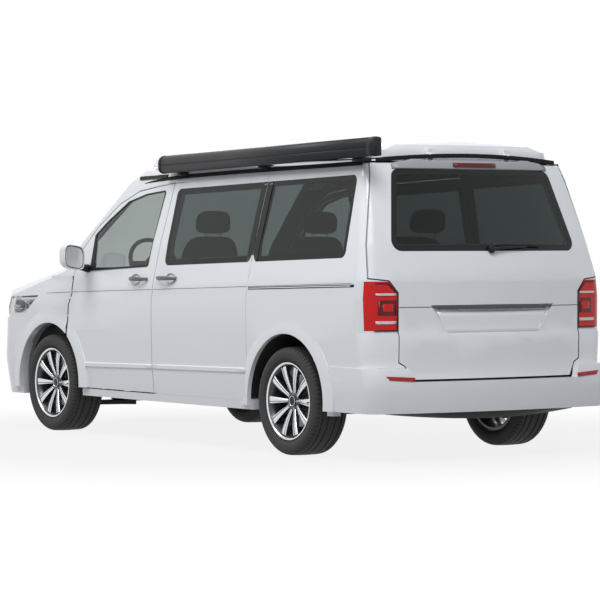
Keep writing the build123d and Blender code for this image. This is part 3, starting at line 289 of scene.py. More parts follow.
DARK_GLASS = glass("privacy_glass", (0.120, 0.155, 0.148))
LENS = glass("lamp_lens", (0.60, 0.62, 0.64))
LAMP_RED = ribbed("lamp_red", (0.74, 0.004, 0.006), 0.14, 60, "Z")
LAMP_DARK_RED = ribbed("lamp_dark_red", (0.14, 0.002, 0.004), 0.14, 80, "X")
LAMP_RIM = surface("lamp_rim", (0.035, 0.004, 0.005), 0.3, specular=0.3)
LAMP_WHITE = ribbed("lamp_white", (0.78, 0.76, 0.76), 0.10, 90, "X")
LAMP_AMBER = ribbed("lamp_amber", (0.75, 0.25, 0.03), 0.15, 120, "X")
REFLECTOR = ribbed("reflector_red", (0.55, 0.015, 0.02), 0.2, 150, "X", depth=0.8)
SILVER = surface("reflector_bowl", (0.8, 0.8, 0.82), 0.12, metallic=1.0, vary=0.02)
# painted shade: a dark colour for thin strips that stand in for the shade along creases
SHADE = surface("line_shade", (0.11, 0.115, 0.125), 0.5, specular=0.2)
HANDLE_CUP = surface("handle_cup", (0.50, 0.51, 0.53), 0.35, coat=0.4)
HANDLE_GREY = surface("handle_bar", (0.13, 0.135, 0.14), 0.3, metallic=0.3, specular=0.4)
GRIP_GREY = surface("grip_slot", (0.09, 0.095, 0.10), 0.5, bump=0.1, specular=0.3)
LIP_GREY = surface("glass_hood", (0.34, 0.35, 0.37), 0.4, specular=0.3)
MIRROR = surface("mirror_glass", (0.72, 0.74, 0.76), 0.12, metallic=0.25, vary=0.01,
                 rough_vary=0.005)
SEAT = weave("seat_cloth", (0.035, 0.036, 0.040))
CANVAS = weave("roof_canvas", (0.10, 0.105, 0.115), pitch=1400)


# ---------------------------------------------------------------- carried-over nodes
SMOOTH_LIMIT = radians(28)
INWARD = -0.2           # a face whose outward share lies below this is an inner one


def select(group, value, operation, limit, target):
    """Limits a node to what lies above or below a limit."""
    test = add_node(group, "FunctionNodeCompare", data_type="FLOAT", operation=operation)
    preset(test, {1: limit})
    wire(group, (value, test.inputs[0]), (test.outputs["Result"], target.inputs["Selection"]))


def node_finish(name, inside=None, facing="X"):
    """A geometry group: welds the mesh, smooths it and gives its inner faces their own material.

    Inner faces look against the facing axis, or towards the van's middle where that is X.
    """
    group = bpy.data.node_groups.new(name, "GeometryNodeTree")
    for way in ("INPUT", "OUTPUT"):
        group.interface.new_socket("Geometry", in_out=way, socket_type="NodeSocketGeometry")
    crease = add_node(group, "GeometryNodeSetShadeSmooth", {"Shade Smooth": False}, domain="EDGE")
    chain = [group.nodes.new("NodeGroupInput"),
             add_node(group, "GeometryNodeMergeByDistance", {"Distance": 0.00002}),
             add_node(group, "GeometryNodeRemoveAttribute", {"Name": "custom_normal"}),
             add_node(group, "GeometryNodeSetShadeSmooth", {"Shade Smooth": True}, domain="FACE"),
             crease]
    angle = add_node(group, "GeometryNodeInputMeshEdgeAngle").outputs["Unsigned Angle"]
    select(group, angle, "GREATER_THAN", SMOOTH_LIMIT, crease)
    if inside:
        normal = add_node(group, "ShaderNodeSeparateXYZ")
        outward = add_node(group, "ShaderNodeMath", {1: 1.0}, operation="MULTIPLY")
        wire(group, (add_node(group, "GeometryNodeInputNormal").outputs[0], normal.inputs[0]),
             (normal.outputs[facing], outward.inputs[0]))
        if facing == "X":
            place = add_node(group, "ShaderNodeSeparateXYZ")
            position = add_node(group, "GeometryNodeInputPosition")
            wire(group, (position.outputs[0], place.inputs[0]),
                 (place.outputs["X"], outward.inputs[1]))
        paint = add_node(group, "GeometryNodeSetMaterial", {"Material": inside})
        select(group, outward.outputs[0], "LESS_THAN", INWARD, paint)
        chain.append(paint)
    chain.append(group.nodes.new("NodeGroupOutput"))
    for before, after in zip(chain, chain[1:]):
        wire(group, (before.outputs[0], after.inputs[0]))
    return group


PLAIN = node_finish("welded")
LINED_SIDE = node_finish("lined_side", CABIN_TRIM)
LINED_TAIL = node_finish("lined_tail", CABIN_TRIM, "Y")
LINED_ROOF = node_finish("lined_roof", HEADLINER, "Z")


def dress(node, material, group):
    """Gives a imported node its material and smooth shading."""
    obj = nodes[node]
    if not obj.material_slots:
        obj.data.materials.append(material)
    for slot in obj.material_slots:
        slot.material = material
    obj.modifiers.new("finish", "NODES").node_group = group


for material, group, names in (
        (PAINT, LINED_SIDE, "sliding_doors front_door_left front_door_right"),
        (PAINT, LINED_TAIL, "tailgate"), (PAINT, LINED_ROOF, "roof_frame pop_roof"),
        (PAINT, PLAIN, "front_wings front_bumper bonnet rear_bumper"),
        (GLOSS_BLACK, PLAIN, "grille"), (DASH, PLAIN, "bulkhead dashboard steering_wheel"),
        (UNDERBODY, PLAIN, "floor_pan front_subframe rear_axle knuckle_left knuckle_right"),
        (TRIM, PLAIN, "roof_trim arch_liners fuel_tank"),
        (CLEAR_GLASS, PLAIN, "windscreen front_door_glass_left front_door_glass_right"),
        (DARK_GLASS, PLAIN, "side_glass tailgate_glass"), (LAMP_RED, PLAIN, "tail_lamps"),
        (LENS, PLAIN, "headlamps"), (ENGINE, PLAIN, "engine"), (EXHAUST, PLAIN, "exhaust")):
    for name in names.split():
        dress(name, material, group)


# ---------------------------------------------------------------- mesh pieces
class Shape:
    """Points and faces of one piece, with a material number for each face."""

    def __init__(self):
        self.points = []
        self.faces = []
        self.finishes = []

    def add(self, points, faces, finish=0):
        first = len(self.points)
        self.points += [tuple(point) for point in points]
        self.faces += [tuple(first + index for index in face) for face in faces]
        self.finishes += [finish] * len(faces)
        return self

    def grid(self, rows, finish=0, close_rows=False, close_columns=False):
        """Faces over rows of points; either way round may close on itself."""
        count, width = len(rows), len(rows[0])
        faces = []
        for r in range(count if close_rows else count - 1):
            for c in range(width if close_columns else width - 1):
                r1, c1 = (r + 1) % count, (c + 1) % width
                faces.append((r * width + c, r * width + c1, r1 * width + c1, r1 * width + c))
        return self.add([point for row in rows for point in row], faces, finish)

    def ring(self, rows, finish=0):
        """Faces over rows that close both ways."""
        return self.grid(rows, finish, close_rows=True, close_columns=True)

    def tube(self, rows, finish=0):
        """A closed bar through like sections, with flat ends."""
        self.grid(rows, finish, close_columns=True)
        width = len(rows[0])
        self.add(rows[0], [tuple(reversed(range(width)))], finish)
        return self.add(rows[-1], [tuple(range(width))], finish)

    def swept(self, stops, offsets, finish=0):
        """A closed bar with the same (y, z) section at each stop."""
        return self.tube([[(x, y + dy, z + dz) for dy, dz in offsets] for x, y, z in stops],
                         finish)

    def turned(self, profile, steps, finish=0):
        """Turns an (x, radius) profile about the X axis."""
        rows = [[(x, r * c, r * s) for x, r in profile] for c, s in circle(steps)]
        return self.grid(rows, finish, close_rows=True)

    def block(self, x, y, z, finish=0):
        """A box from three (low, high) pairs, for use inside larger pieces."""
        (x0, x1), (z0, z1) = x, z
        rows = [[(x0, depth, z0), (x1, depth, z0), (x1, depth, z1), (x0, depth, z1)]
                for depth in y]
        return self.tube(rows, finish)

    def moved(self, place):
        """Every point put through a placing matrix."""
        self.points = [tuple(place @ Vector(point)) for point in self.points]
        return self

    def piece(self, name, body, materials, slot, replaces=(), smooth=32):
        """The finished object, riding on its body."""
        mesh = bpy.data.meshes.new(name)
        mesh.from_pydata(self.points, [], self.faces)
        for material in materials:
            mesh.materials.append(material)
        mesh.polygons.foreach_set("material_index", self.finishes)
        mesh.validate()
        mesh.update()
        mesh.shade_smooth()
        mesh.set_sharp_from_angle(angle=radians(smooth))
        obj = linked(name, mesh)
        recalculated(obj)
        if body:
            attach(obj, body)
        if replaces:
            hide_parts(*replaces)
        return obj


def recalculated(obj):
    """Joins points that coincide and turns every face of a closed piece outward."""
    work = bmesh.new()
    work.from_mesh(obj.data)
    bmesh.ops.remove_doubles(work, verts=work.verts, dist=0.000001)
    bmesh.ops.recalc_face_normals(work, faces=work.faces)
    work.to_mesh(obj.data)
    work.free()


def prism_faces(count):
    """Two ends and the walls between them, over two loops of count points."""
    ends = [tuple(range(count)), tuple(reversed(range(count, 2 * count)))]
    return ends + [(k, (k + 1) % count, count + (k + 1) % count, count + k)
                   for k in range(count)]


def flat_strip(shape, line, half_width, proud, normals, finish=0, sunk=0.003):
    """A thin band with bevelled edges along a line of points, each with its normal."""
    section = ((-half_width, -sunk), (half_width, -sunk), (half_width, proud * 0.5),
               (half_width * 0.7, proud), (-half_width * 0.7, proud), (-half_width, proud * 0.5))
    rows = []
    for number, (point, out) in enumerate(zip(line, normals)):
        ahead = line[min(number + 1, len(line) - 1)] - line[max(number - 1, 0)]
        across = out.cross(ahead).normalized()
        rows.append([point + across * a + out * o for a, o in section])
    return shape.tube(rows, finish)


# ---------------------------------------------------------------- wheels
SPOKES = 10
RIM_EDGE = 0.112        # half the rim's width
FLANGE = 0.246
BOLTS = 5
BOLT_CIRCLE = 0.0515
DISC = 0.165
VANES = 40              # ribs inside the vented disc

# what is turned about the axle: steps, finish and (x, radius) profile
WHEEL_PROFILES = (
    (72, 1, ((-RIM_EDGE, FLANGE), (-RIM_EDGE + 0.006, FLANGE), (-RIM_EDGE + 0.012, 0.2285),
             (-0.05, 0.2265), (0.05, 0.2265), (RIM_EDGE - 0.012, 0.2285),
             (RIM_EDGE - 0.008, FLANGE), (RIM_EDGE - 0.003, FLANGE + 0.0005))),
    (72, 0, ((RIM_EDGE - 0.003, FLANGE + 0.0005), (RIM_EDGE, FLANGE - 0.001),
             (RIM_EDGE, FLANGE - 0.009), (RIM_EDGE - 0.004, FLANGE - 0.013))),
    (72, 1, ((RIM_EDGE - 0.004, FLANGE - 0.013), (RIM_EDGE - 0.012, 0.228),
             (RIM_EDGE - 0.034, 0.214), (0.02, 0.207), (-0.06, 0.204), (-RIM_EDGE, 0.222),
             (-RIM_EDGE, FLANGE))),
    (60, 1, ((0.030, 0.066), (0.066, 0.063), (0.074, 0.056), (0.0765, 0.047), (0.0735, 0.040),
             (0.0735, 0.034))),
    (48, 2, ((0.0735, 0.034), (0.079, 0.033), (0.081, 0.030), (0.0800, 0.027), (0.0795, 0.020),
             (0.081, 0.010), (0.0815, 0.0005))),
    (48, 0, ((0.079, 0.0335), (0.0815, 0.0330), (0.0820, 0.0305), (0.0805, 0.0290))),
    (72, 3, ((-0.012, DISC), (-0.004, DISC), (-0.003, 0.158), (0.001, 0.158), (0.002, DISC),
             (0.010, DISC), (0.010, 0.095), (0.030, 0.088), (0.030, 0.035))),
    (72, 3, ((-0.012, DISC), (-0.012, 0.035))))


def spoke_rows(side):
    """Cross-sections of one spoke from the hub out; the groove lies near one of its edges."""
    rows = []
    for share in (0.0, 0.15, 0.4, 0.7, 0.92, 1.0):
        radius = 0.046 + share * 0.176
        half = 0.0085 + share * 0.0165
        face = 0.072 + 0.030 * sin(share * pi / 2)
        back = face - (0.030 - 0.008 * share)
        groove = half * 0.45 * side
        section = ((-half - 0.004, back), (half + 0.004, back), (half, face - 0.004),
                   (half - 0.0015, face), (groove + 0.0022, face), (groove, face - 0.003),
                   (groove - 0.0022, face), (-half + 0.0015, face), (-half, face - 0.004))
        rows.append([(x, y, radius) for y, x in section])
    return rows


def wheel_place(end, side):
    return Matrix.Translation((side * WHEEL_X, AXLES[end], WHEEL_Z))


def wheel(end, side, word):
    """The rim with its spokes, hub, bolts and valve, and the brake disc behind it."""
    name = f"wheel_{end}_{word}"
    shape = Shape()
    for steps, finish, profile in WHEEL_PROFILES:
        shape.turned(profile, steps, finish)
    for number in range(SPOKES):
        turn = Matrix.Rotation(2 * pi * (number + 0.5) / SPOKES, 4, "X")
        rows = [[turn @ Vector(point) for point in row]
                for row in spoke_rows(1 if number % 2 else -1)]
        width = len(rows[0])
        for edge in range(width):
            polished = edge in (2, 3, 6, 7)
            pair = [[row[edge], row[(edge + 1) % width]] for row in rows]
            shape.grid(pair, 0 if polished else 1)
    for y, z in circle(BOLTS):
        heads = [[(x, BOLT_CIRCLE * y + r * c, BOLT_CIRCLE * z + r * s) for c, s in circle(6)]
                 for x, r in ((0.066, 0.0095), (0.0785, 0.0095), (0.0800, 0.0075),
                              (0.0760, 0.0060), (0.0760, 0.0005))]
        shape.grid(heads, 3, close_columns=True)
    for c, s in circle(VANES):
        shape.tube([[(x, r * c - w * s, r * s + w * c) for r, w in
                     ((0.110, -0.003), (0.160, -0.003), (0.160, 0.003), (0.110, 0.003))]
                    for x in (-0.0035, 0.0015)], 1)
    shape.tube([[(x, 0.214 + r * c, r * s) for c, s in circle(8)] for x, r in
                ((0.070, 0.004), (0.100, 0.004), (0.101, 0.0045), (0.112, 0.0045))], 4)
    place = wheel_place(end, side)
    if side < 0:
        place = place @ Matrix.Rotation(pi, 4, "Z")
    shape.moved(place)
    shape.piece(f"rim_{end}_{word}", name, (POLISHED, ALLOY_DARK, GLOSS_BLACK, STEEL, RUBBER),
                "alloy", (name,))


TREAD_BLOCKS = 72
TREAD_DEPTH = 0.007
NOTCH = 0.0045          # depth of the notches between the shoulder blocks
TYRE_RADIUS = 0.3430
GROOVES = (-0.072, -0.028, 0.028, 0.072)
TYRE_HALF = ((0.1000, 0.2293), (0.1035, 0.2470), (0.1120, 0.2560), (0.1135, 0.2590),
             (0.1180, 0.2640), (0.1215, 0.2680), (0.1235, 0.2730), (0.1262, 0.2820),
             (0.1262, 0.2840), (0.1275, 0.2870), (0.1273, 0.2980), (0.1260, 0.3060),
             (0.1240, 0.3130), (0.1205, 0.3210), (0.1165, 0.3270), (0.1120, 0.3325),
             (0.1060, 0.3368), (0.0985, 0.3395), (0.0880, 0.3408))


def tyre_profile():
    """(x, radius, notch's depth) from the inner bead over the tread to the outer bead."""
    half = [(x, r, NOTCH * (0.1205 > x > 0.0885)) for x, r in TYRE_HALF]
    rows = [(-x, r, notch) for x, r, notch in half]
    for groove in GROOVES:
        top = TYRE_RADIUS - 0.28 * groove * groove
        rows += [(groove + dx, top - sunk, 0) for dx, sunk in
                 ((-0.0055, 0), (-0.0035, TREAD_DEPTH), (0.0035, TREAD_DEPTH), (0.0055, 0))]
        if groove == GROOVES[1]:
            rows.append((0.0, TYRE_RADIUS, 0))
    return rows + half[::-1]


def tyre(end, side, word):
    """The tyre, with grooves round its tread and notches across its shoulders."""
    profile = tyre_profile()
    rows = []
    for pitch in range(TREAD_BLOCKS):
        for share, sunk in ((0.0, 0), (0.80, 0), (0.84, 1), (0.96, 1)):
            turn = 2 * pi * (pitch + share) / TREAD_BLOCKS
            rows.append([(x, (r - notch * sunk) * cos(turn), (r - notch * sunk) * sin(turn))
                         for x, r, notch in profile])
    shape = Shape().grid(rows, close_rows=True).moved(wheel_place(end, side))
    shape.piece(f"tyre_tread_{end}_{word}", f"wheel_{end}_{word}", (TYRE,), "tyre_rubber",
                (f"tyre_{end}_{word}",), smooth=40)


for end in AXLES:
    for side, word in SIDES:
        wheel(end, side, word)
        tyre(end, side, word)


# ---------------------------------------------------------------- the side's outlines
def side_point(side, y, z, proud=0.0):
    """A point that stands proud of the side's outer form."""
    return Vector((side * (side_x(z, y) + proud), y, z))


def side_normal(side, z):
    """The side's outward direction at height z."""
    slope = (side_x(z + 0.01) - side_x(z - 0.01)) / 0.02
    return Vector((side, 0, -slope)).normalized()


def back_normal(edge, bisector):
    """The unit normal of an edge that points to the side of the bisector."""
    normal = Vector((-edge.y, edge.x))
    return normal if normal.dot(bisector) > 0 else -normal


def rounded(corners, radius, inset=0.0, steps=6):
    """A closed outline with rounded corners, drawn in by inset."""
    count = len(corners)
    area = sum(a[0] * b[1] - b[0] * a[1] for a, b in zip(corners, corners[1:] + corners[:1]))
    turn = 1 if area > 0 else -1
    points = []
    for k in range(count):
        here = Vector(corners[k])
        back = (Vector(corners[k - 1]) - here).normalized()
        ahead = (Vector(corners[(k + 1) % count]) - here).normalized()
        bisector = (back + ahead).normalized()
        convex = turn * (back.x * ahead.y - back.y * ahead.x) < 0
        keep = radius if convex else 0.0005
        reach = max(keep - inset, 0.0005)
        centre = here + bisector * (keep / sin(back.angle(ahead) / 2))
        start, end = (atan2(*(-back_normal(edge, bisector) * reach).yx) for edge in (back, ahead))
        sweep = (end - start + pi) % (2 * pi) - pi
        for step in range(steps + 1):
            angle = start + sweep * step / steps
            points.append(tuple(centre + Vector((cos(angle), sin(angle))) * reach))
    return points


def window_corners(front_low, rear_low, front_high, rear_high):
    """A side window's corners as (y, z), from its front foot round by the rear."""
    return [(y, rise(y, height)) for y, height in
            ((front_low, BELT), (rear_low, BELT),
             (rear_high, WINDOW_TOP), (front_high, WINDOW_TOP))]


SLIDING_GLASS = window_corners(B_PILLAR + 0.115, C_PILLAR - 0.006,
                               B_PILLAR + 0.135, C_PILLAR + 0.036)
QUARTER_GLASS = window_corners(C_PILLAR + 0.022, QUARTER_REAR,
                               C_PILLAR + 0.062, QUARTER_REAR - 0.015)
DOOR_GLASS = [(-1.020, 1.142), (-0.254, 1.177), (-0.170, 1.694), (-0.420, 1.672),
              (-0.640, 1.622), (-0.875, 1.487), (-1.010, 1.392)]
DOOR_SAIL = [(-1.018, 1.146), (-1.008, 1.388), (-0.985, 1.406), (-0.967, 1.205),
             (-0.940, 1.150)]
GLASS_RADIUS = 0.045
GLASS_FACE = 0.0016     # how deep the borders lie under the body's outer form
PRINT = 0.0004          # thickness of a printed border
BORDER = 0.034
TAIL_BORDER = 0.038
OPENING = 0.030         # how far the opening's edge lies inside the glass's


def open_side(side, word):
    """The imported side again, with the quarter window's opening cut through its inner wall."""
    node = nodes[f"body_side_{word}"]
    work = linked(f"side_panel_{word}", node.data.copy())
    work.data.materials.clear()
    for material in (PAINT, CABIN_TRIM, TRIM):
        work.data.materials.append(material)
    work.matrix_world = node.matrix_world
    work.modifiers.new("finish", "NODES").node_group = LINED_SIDE
    outline = rounded(QUARTER_GLASS, GLASS_RADIUS, inset=OPENING)
    mesh = bpy.data.meshes.new(f"opening_{word}")
    mesh.from_pydata([(x, y, z) for x in (side * 0.60, side * 1.10) for y, z in outline], [],
                     prism_faces(len(outline)))
    mesh.materials.append(TRIM)
    cutter = linked(f"opening_{word}", mesh)
    recalculated(cutter)
    cut = work.modifiers.new("opening", "BOOLEAN")
    cut.operation = "DIFFERENCE"
    cut.solver = "EXACT"
    cut.object = cutter
    bpy.context.view_layer.update()
    shaped = work.evaluated_get(bpy.context.evaluated_depsgraph_get())
    mesh = bpy.data.meshes.new_from_object(shaped)
    work.modifiers.clear()
    work.data = mesh
    bpy.data.objects.remove(cutter)
    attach(work, "van")
    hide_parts(f"body_side_{word}")


# ---------------------------------------------------------------- body details
def carrier(body, word):
    """A body's full name: there is a front door on each side."""
    return f"front_door_{word}" if body == "front_door" else body


def evenly(start, end, count):
    """Evenly spaced points from start to end."""
    return [tuple(a + (b - a) * k / (count - 1) for a, b in zip(start, end))
            for k in range(count)]


def side_strip(shape, side, start, end, half_width, proud, finish=0, count=12):
    """A moulding along the side between two (y, z) ends."""
    line = evenly(start, end, count)
    flat_strip(shape, [side_point(side, y, z) for y, z in line], half_width, proud,
               [side_normal(side, z) for _, z in line], finish)


def printed(shape, place, outer, inner):
    """A thin band between two loops, just under the glass's face."""
    shape.ring([[place(*point, -GLASS_FACE - sunk) for point in loop]
                for loop, sunk in ((outer, 0), (inner, 0), (inner, PRINT), (outer, PRINT))])


def window_borders(side, word):
    """The black printed borders of the bonded glass and the seals of the door's window."""
    def place(y, z, lift):
        return side_point(side, y, z, lift)

    shape = Shape()
    for corners in (SLIDING_GLASS, QUARTER_GLASS):
        printed(shape, place, rounded(corners, GLASS_RADIUS),
                rounded(corners, GLASS_RADIUS, inset=BORDER))
    shape.piece(f"glass_border_{word}", "van", (GLOSS_BLACK,), "dark_trim")
    shape = Shape()
    outer, inner = rounded(DOOR_GLASS, 0.02), rounded(DOOR_GLASS, 0.02, inset=0.012)
    shape.ring([[place(y, z, lift) for y, z in loop] for loop, lift in
                ((outer, -0.006), (outer, 0.0015), (inner, 0.0015), (inner, -0.006))])
    shape.add([place(y, z, lift) for lift in (0.004, -0.004) for y, z in DOOR_SAIL],
              prism_faces(len(DOOR_SAIL)))
    shape.piece(f"window_seal_{word}", f"front_door_{word}", (TRIM,), "dark_trim")


def pillar_cover(side, word):
    """The black panels that join the side windows over the pillar, beside the door's gap."""
    shape = Shape()
    for near, far in ((-0.062, -0.002), (0.002, 0.062)):
        rows = []
        for share in span(0, 1, 16):
            middle = C_PILLAR + 0.008 + 0.041 * share
            row = []
            for lift, edge in ((-0.003, near), (0.0012, near), (0.0012, far), (-0.003, far)):
                low, high = rise(middle + edge, BELT), rise(middle + edge, WINDOW_TOP)
                row.append(side_point(side, middle + edge, low + (high - low) * share, lift))
            rows.append(row)
        shape.tube(rows)
    shape.piece(f"pillar_cover_{word}", "van", (GLOSS_BLACK,), "dark_trim")


ARCH = 0.428            # the wheel arch's radius
FLARE = 0.009           # how far the arch's edge stands out
WING_FOOT = 0.7065
WING_TOP = 1.104
WING_GAP = 0.007        # from the wing panel's rear edge to the line of WING_REAR
WING_THICK = 0.0015


def wing_lift(y, z):
    """How far the arch's flare raises the panel."""
    radius = sqrt((y - FRONT_AXLE) ** 2 + (z - WHEEL_Z) ** 2)
    if radius < 0.440:
        return FLARE
    return max(0.0, FLARE * (0.516 - radius) / 0.076) - 0.0006


def wing_panel(side, word):
    """The rear of a front wing between the arch and the door, as an outer and an inner sheet."""
    rows = []
    for share in span(0, 1, 18):
        z = WING_FOOT + (WING_TOP - WING_FOOT) * share ** 1.5
        front = -1.545
        if z <= WHEEL_Z + ARCH:
            front = FRONT_AXLE + sqrt(ARCH ** 2 - (z - WHEEL_Z) ** 2)
        rows.append([side_point(side, y, z, wing_lift(y, z))
                     for y in span(front, along(WING_REAR, z)[0] - WING_GAP, 10)])
    inward = Vector((side * WING_THICK, 0, 0))
    shape = Shape().grid(rows).grid([[point - inward for point in row] for row in rows])
    shape.piece(f"wing_panel_{word}", "van", (PAINT,), "body")


# thin lines along each side, the dark ones painted shade at creases: piece, body, materials, slot
# and its strips, each with its (y, z) ends, half width and height, and where they differ its
# finish and number of points
SIDE_LINES = (
    # painted shade along the wing's crease
    ("wing_crease_shade", "van", (SHADE,), "dark_trim",
     (((-1.600, 0.978), (-1.262, 0.991), 0.0016, 0.0010),)),
    ("door_moulding", "front_door", (PAINT,), "body",
     (((-1.125, 0.487), (-0.176, 0.504), 0.016, 0.007),)),
    ("side_moulding", "van", (PAINT,), "body",
     (((-0.156, 0.505), (0.992, 0.521), 0.016, 0.007),)),
    # painted shade along the shoulder's crease
    ("shoulder_crease_shade", "van", (SHADE,), "dark_trim",
     (((-0.152, 1.0245), (0.994, 1.0590), 0.0016, 0.0008),
      ((1.012, 1.0595), (2.160, 1.0940), 0.0016, 0.0008))),
    # painted shade along the front door's crease
    ("door_crease_shade", "front_door", (SHADE,), "dark_trim",
     (((-1.236, 0.9920), (-0.170, 1.0240), 0.0016, 0.0008),)),
    ("door_rail", "van", (GLOSS_BLACK, CHROME), "dark_trim",
     (((1.016, 1.0475), (2.190, 1.0790), 0.0085, 0.0012, 0, 24),
      ((1.020, 1.0480), (2.150, 1.0778), 0.0030, 0.0030, 1, 24))))


def mouldings(side, word):
    """Painted shade lines at the creases, the lower moulding and the sliding door's rail."""
    for name, body, materials, slot, strips in SIDE_LINES:
        shape = Shape()
        for values in strips:
            side_strip(shape, side, *values)
        shape.piece(f"{name}_{word}", carrier(body, word), materials, slot)


# ends (y), height, the cup's middle, body and name of each door's handle
HANDLES = ((-0.452, -0.240, 1.0925, -0.452 + 0.068, "front_door", "door_handle"),
           (-0.098, 0.128, 1.1015, 0.128 - 0.068, "van", "sliding_door_handle"))


def handles(side, word):
    """A shallow cup with a grip bar across it, on each side door."""
    for y0, y1, z, cup_y, body, name in HANDLES:
        shape = Shape()
        cup = [[side_point(side, cup_y + 0.060 * share * c, z + 0.036 * share * s, lift)
                for c, s in circle(28)]
               for share, lift in ((1.0, 0.0066), (0.93, 0.0076), (0.86, 0.0030),
                                   (0.55, -0.0015), (0.05, -0.0020))]
        shape.grid(cup, close_columns=True)
        normal = side_normal(side, z)
        bar = []
        for share in span(0, 1, 12):
            bulge = sin(pi * share)
            centre = side_point(side, y0 + (y1 - y0) * share, z, 0.012 + 0.030 * bulge ** 0.55)
            half = 0.0105 + 0.004 * bulge
            bar.append([centre + Vector((0, 0, half * c)) + normal * 0.007 * s
                        for c, s in circle(12)])
        shape.tube(bar, 1)
        for y in (y0 + 0.006, y1 - 0.006):
            shape.tube([[side_point(side, y + 0.010 * c, z + 0.011 * s, lift)
                         for c, s in circle(10)] for lift in (0.0, 0.018)], 1)
        shape.piece(f"{name}_{word}", carrier(body, word), (HANDLE_CUP, HANDLE_GREY),
                    "dark_trim")


def mirror(side, word):
    """A rounded housing on a short arm, with its glass facing the rear."""
    shape = Shape()
    centre = Vector((1.066, -1.030, 1.238))
    rows = []
    for share, y in ((0.02, -0.072), (0.45, -0.066), (0.80, -0.045), (0.96, -0.015),
                     (1.0, 0.020), (0.985, 0.052), (0.93, 0.056), (0.90, 0.048)):
        row = []
        for c, s in circle(36):
            x = 0.082 * share * squared(c, 0.55)
            z = 0.086 * share * squared(s, 0.55) + 0.012 * x / 0.082
            row.append((centre.x + x, centre.y + y, centre.z + z))
        rows.append(row)
    shape.grid(rows, close_columns=True)
    shape.add(rows[0], [tuple(range(36))])
    middle = centre + Vector((0, 0.050, 0))
    edge, lip, rim, heart = ([Vector(point).lerp(middle, share) for point in rows[-1]]
                             for share in (0.0, 0.04, 0.08, 0.98))
    lip = [point + Vector((0, 0.002, 0)) for point in lip]
    shape.grid([edge, lip, rim], 1, close_columns=True)
    shape.grid([rim, heart], 2, close_columns=True)
    foot = []
    for share in (0.0, 0.35, 0.7, 1.0):
        half_y = 0.038 - 0.006 * share
        half_z = 0.020 + 0.010 * (1 - share) ** 2
        foot.append([(0.915 + share * 0.100, -1.050 + half_y * c,
                      1.158 + share * 0.014 + half_z * s) for c, s in circle(16)])
    shape.tube(foot, 1)
    shape.swept([(1.066 + x, -1.098 + 0.05 * (x / 0.075) ** 2, 1.232)
                 for x in span(-0.04, 0.06, 5)],
                ((0, -0.006), (-0.004, 0), (0, 0.006), (0.006, 0)), 3)
    if side < 0:
        shape.points = [(-x, y, z) for x, y, z in shape.points]
    shape.piece(f"mirror_housing_{word}", f"front_door_{word}",
                (PAINT, TRIM, MIRROR, LAMP_AMBER), "mirror_case", (f"mirror_{word}",), smooth=45)


# ---------------------------------------------------------------- tail details
HOOD_REAR = 2.150
HOOD_HALF = 0.606
TAIL_GLASS = [(-0.725, 1.290), (0.725, 1.290), (0.612, 1.798), (-0.612, 1.798)]


def tail_point(x, z, proud=0.0):
    """A point that stands proud of the tail's outer form."""
    return Vector((x, bowed_y(TAIL_STATIONS, x, z) + proud, z))


def subdivided(loop, parts=12):
    """The same closed loop with its long runs divided evenly."""
    points = []
    for a, b in zip(loop, loop[1:] + loop[:1]):
        count = parts if sqrt((a[0] - b[0]) ** 2 + (a[1] - b[1]) ** 2) > 0.15 else 1
        points += [(a[0] + (b[0] - a[0]) * k / count, a[1] + (b[1] - a[1]) * k / count)
                   for k in range(count)]
    return points


def hood_back(x):
    """How far back the hood over the glass reaches."""
    return HOOD_REAR - 0.044 * (x / 0.69) ** 2 + 0.012 * (1 - (x / 0.72) ** 2)


def spoiler():
    """The cover above the glass, which carries the high brake lamp."""
    shape = Shape()
    rows = []
    for x in span(-HOOD_HALF, HOOD_HALF, 24):
        top = 1.852 + 0.009 * (abs(abs(x) - 0.43) < 0.04) - 0.022 * (x / HOOD_HALF) ** 10
        rows.append([(x, hood_back(x) + dy, z) for dy, z in
                     ((-0.052, 1.800), (0.010, 1.798), (0.015, 1.804), (0.004, top - 0.010),
                      (-0.006, top), (-0.050, top + 0.002))])
    shape.tube(rows)
    shape.swept([(x, hood_back(x), 0) for x in span(-0.165, 0.165, 8)],
                ((0, 1.814), (0.021, 1.815), (0.0145, 1.839), (-0.004, 1.840)), 1)
    shape.piece("tailgate_spoiler", "tailgate", (LIP_GREY, LAMP_DARK_RED), "body")


def wiper():
    """The rear wiper, parked along the foot of the glass."""
    shape = Shape()
    pivot = tail_point(0.0, 1.302, 0.012)
    shape.tube([[pivot + Vector((r * c, y, r * s)) for c, s in circle(20)]
                for r, y in ((0.026, -0.014), (0.026, 0.004), (0.020, 0.016), (0.006, 0.020))])
    arm = []
    for number, (x, z) in enumerate(((-0.01, 1.303), (-0.10, 1.311), (-0.20, 1.314),
                                     (-0.285, 1.315))):
        half = 0.011 - 0.0022 * number
        centre = tail_point(x, z, 0.026 - 0.003 * number)
        arm.append([centre + Vector((0, half * 0.55 * s, half * c)) for c, s in circle(8)])
    shape.tube(arm)
    shape.swept([tail_point(-0.03 - 0.37 * share, 1.322 - 0.008 * (share - 0.4) ** 2, 0.008)
                 for share in span(0, 1, 8)],
                ((-0.006, -0.003), (0.006, -0.008), (0.010, 0.0), (0.006, 0.008),
                 (-0.006, 0.003)), 1)
    shape.piece("rear_wiper", "tailgate", (TRIM, RUBBER), "dark_plastic")


GRIP_HALF = 0.468
GRIP_Z = 0.945


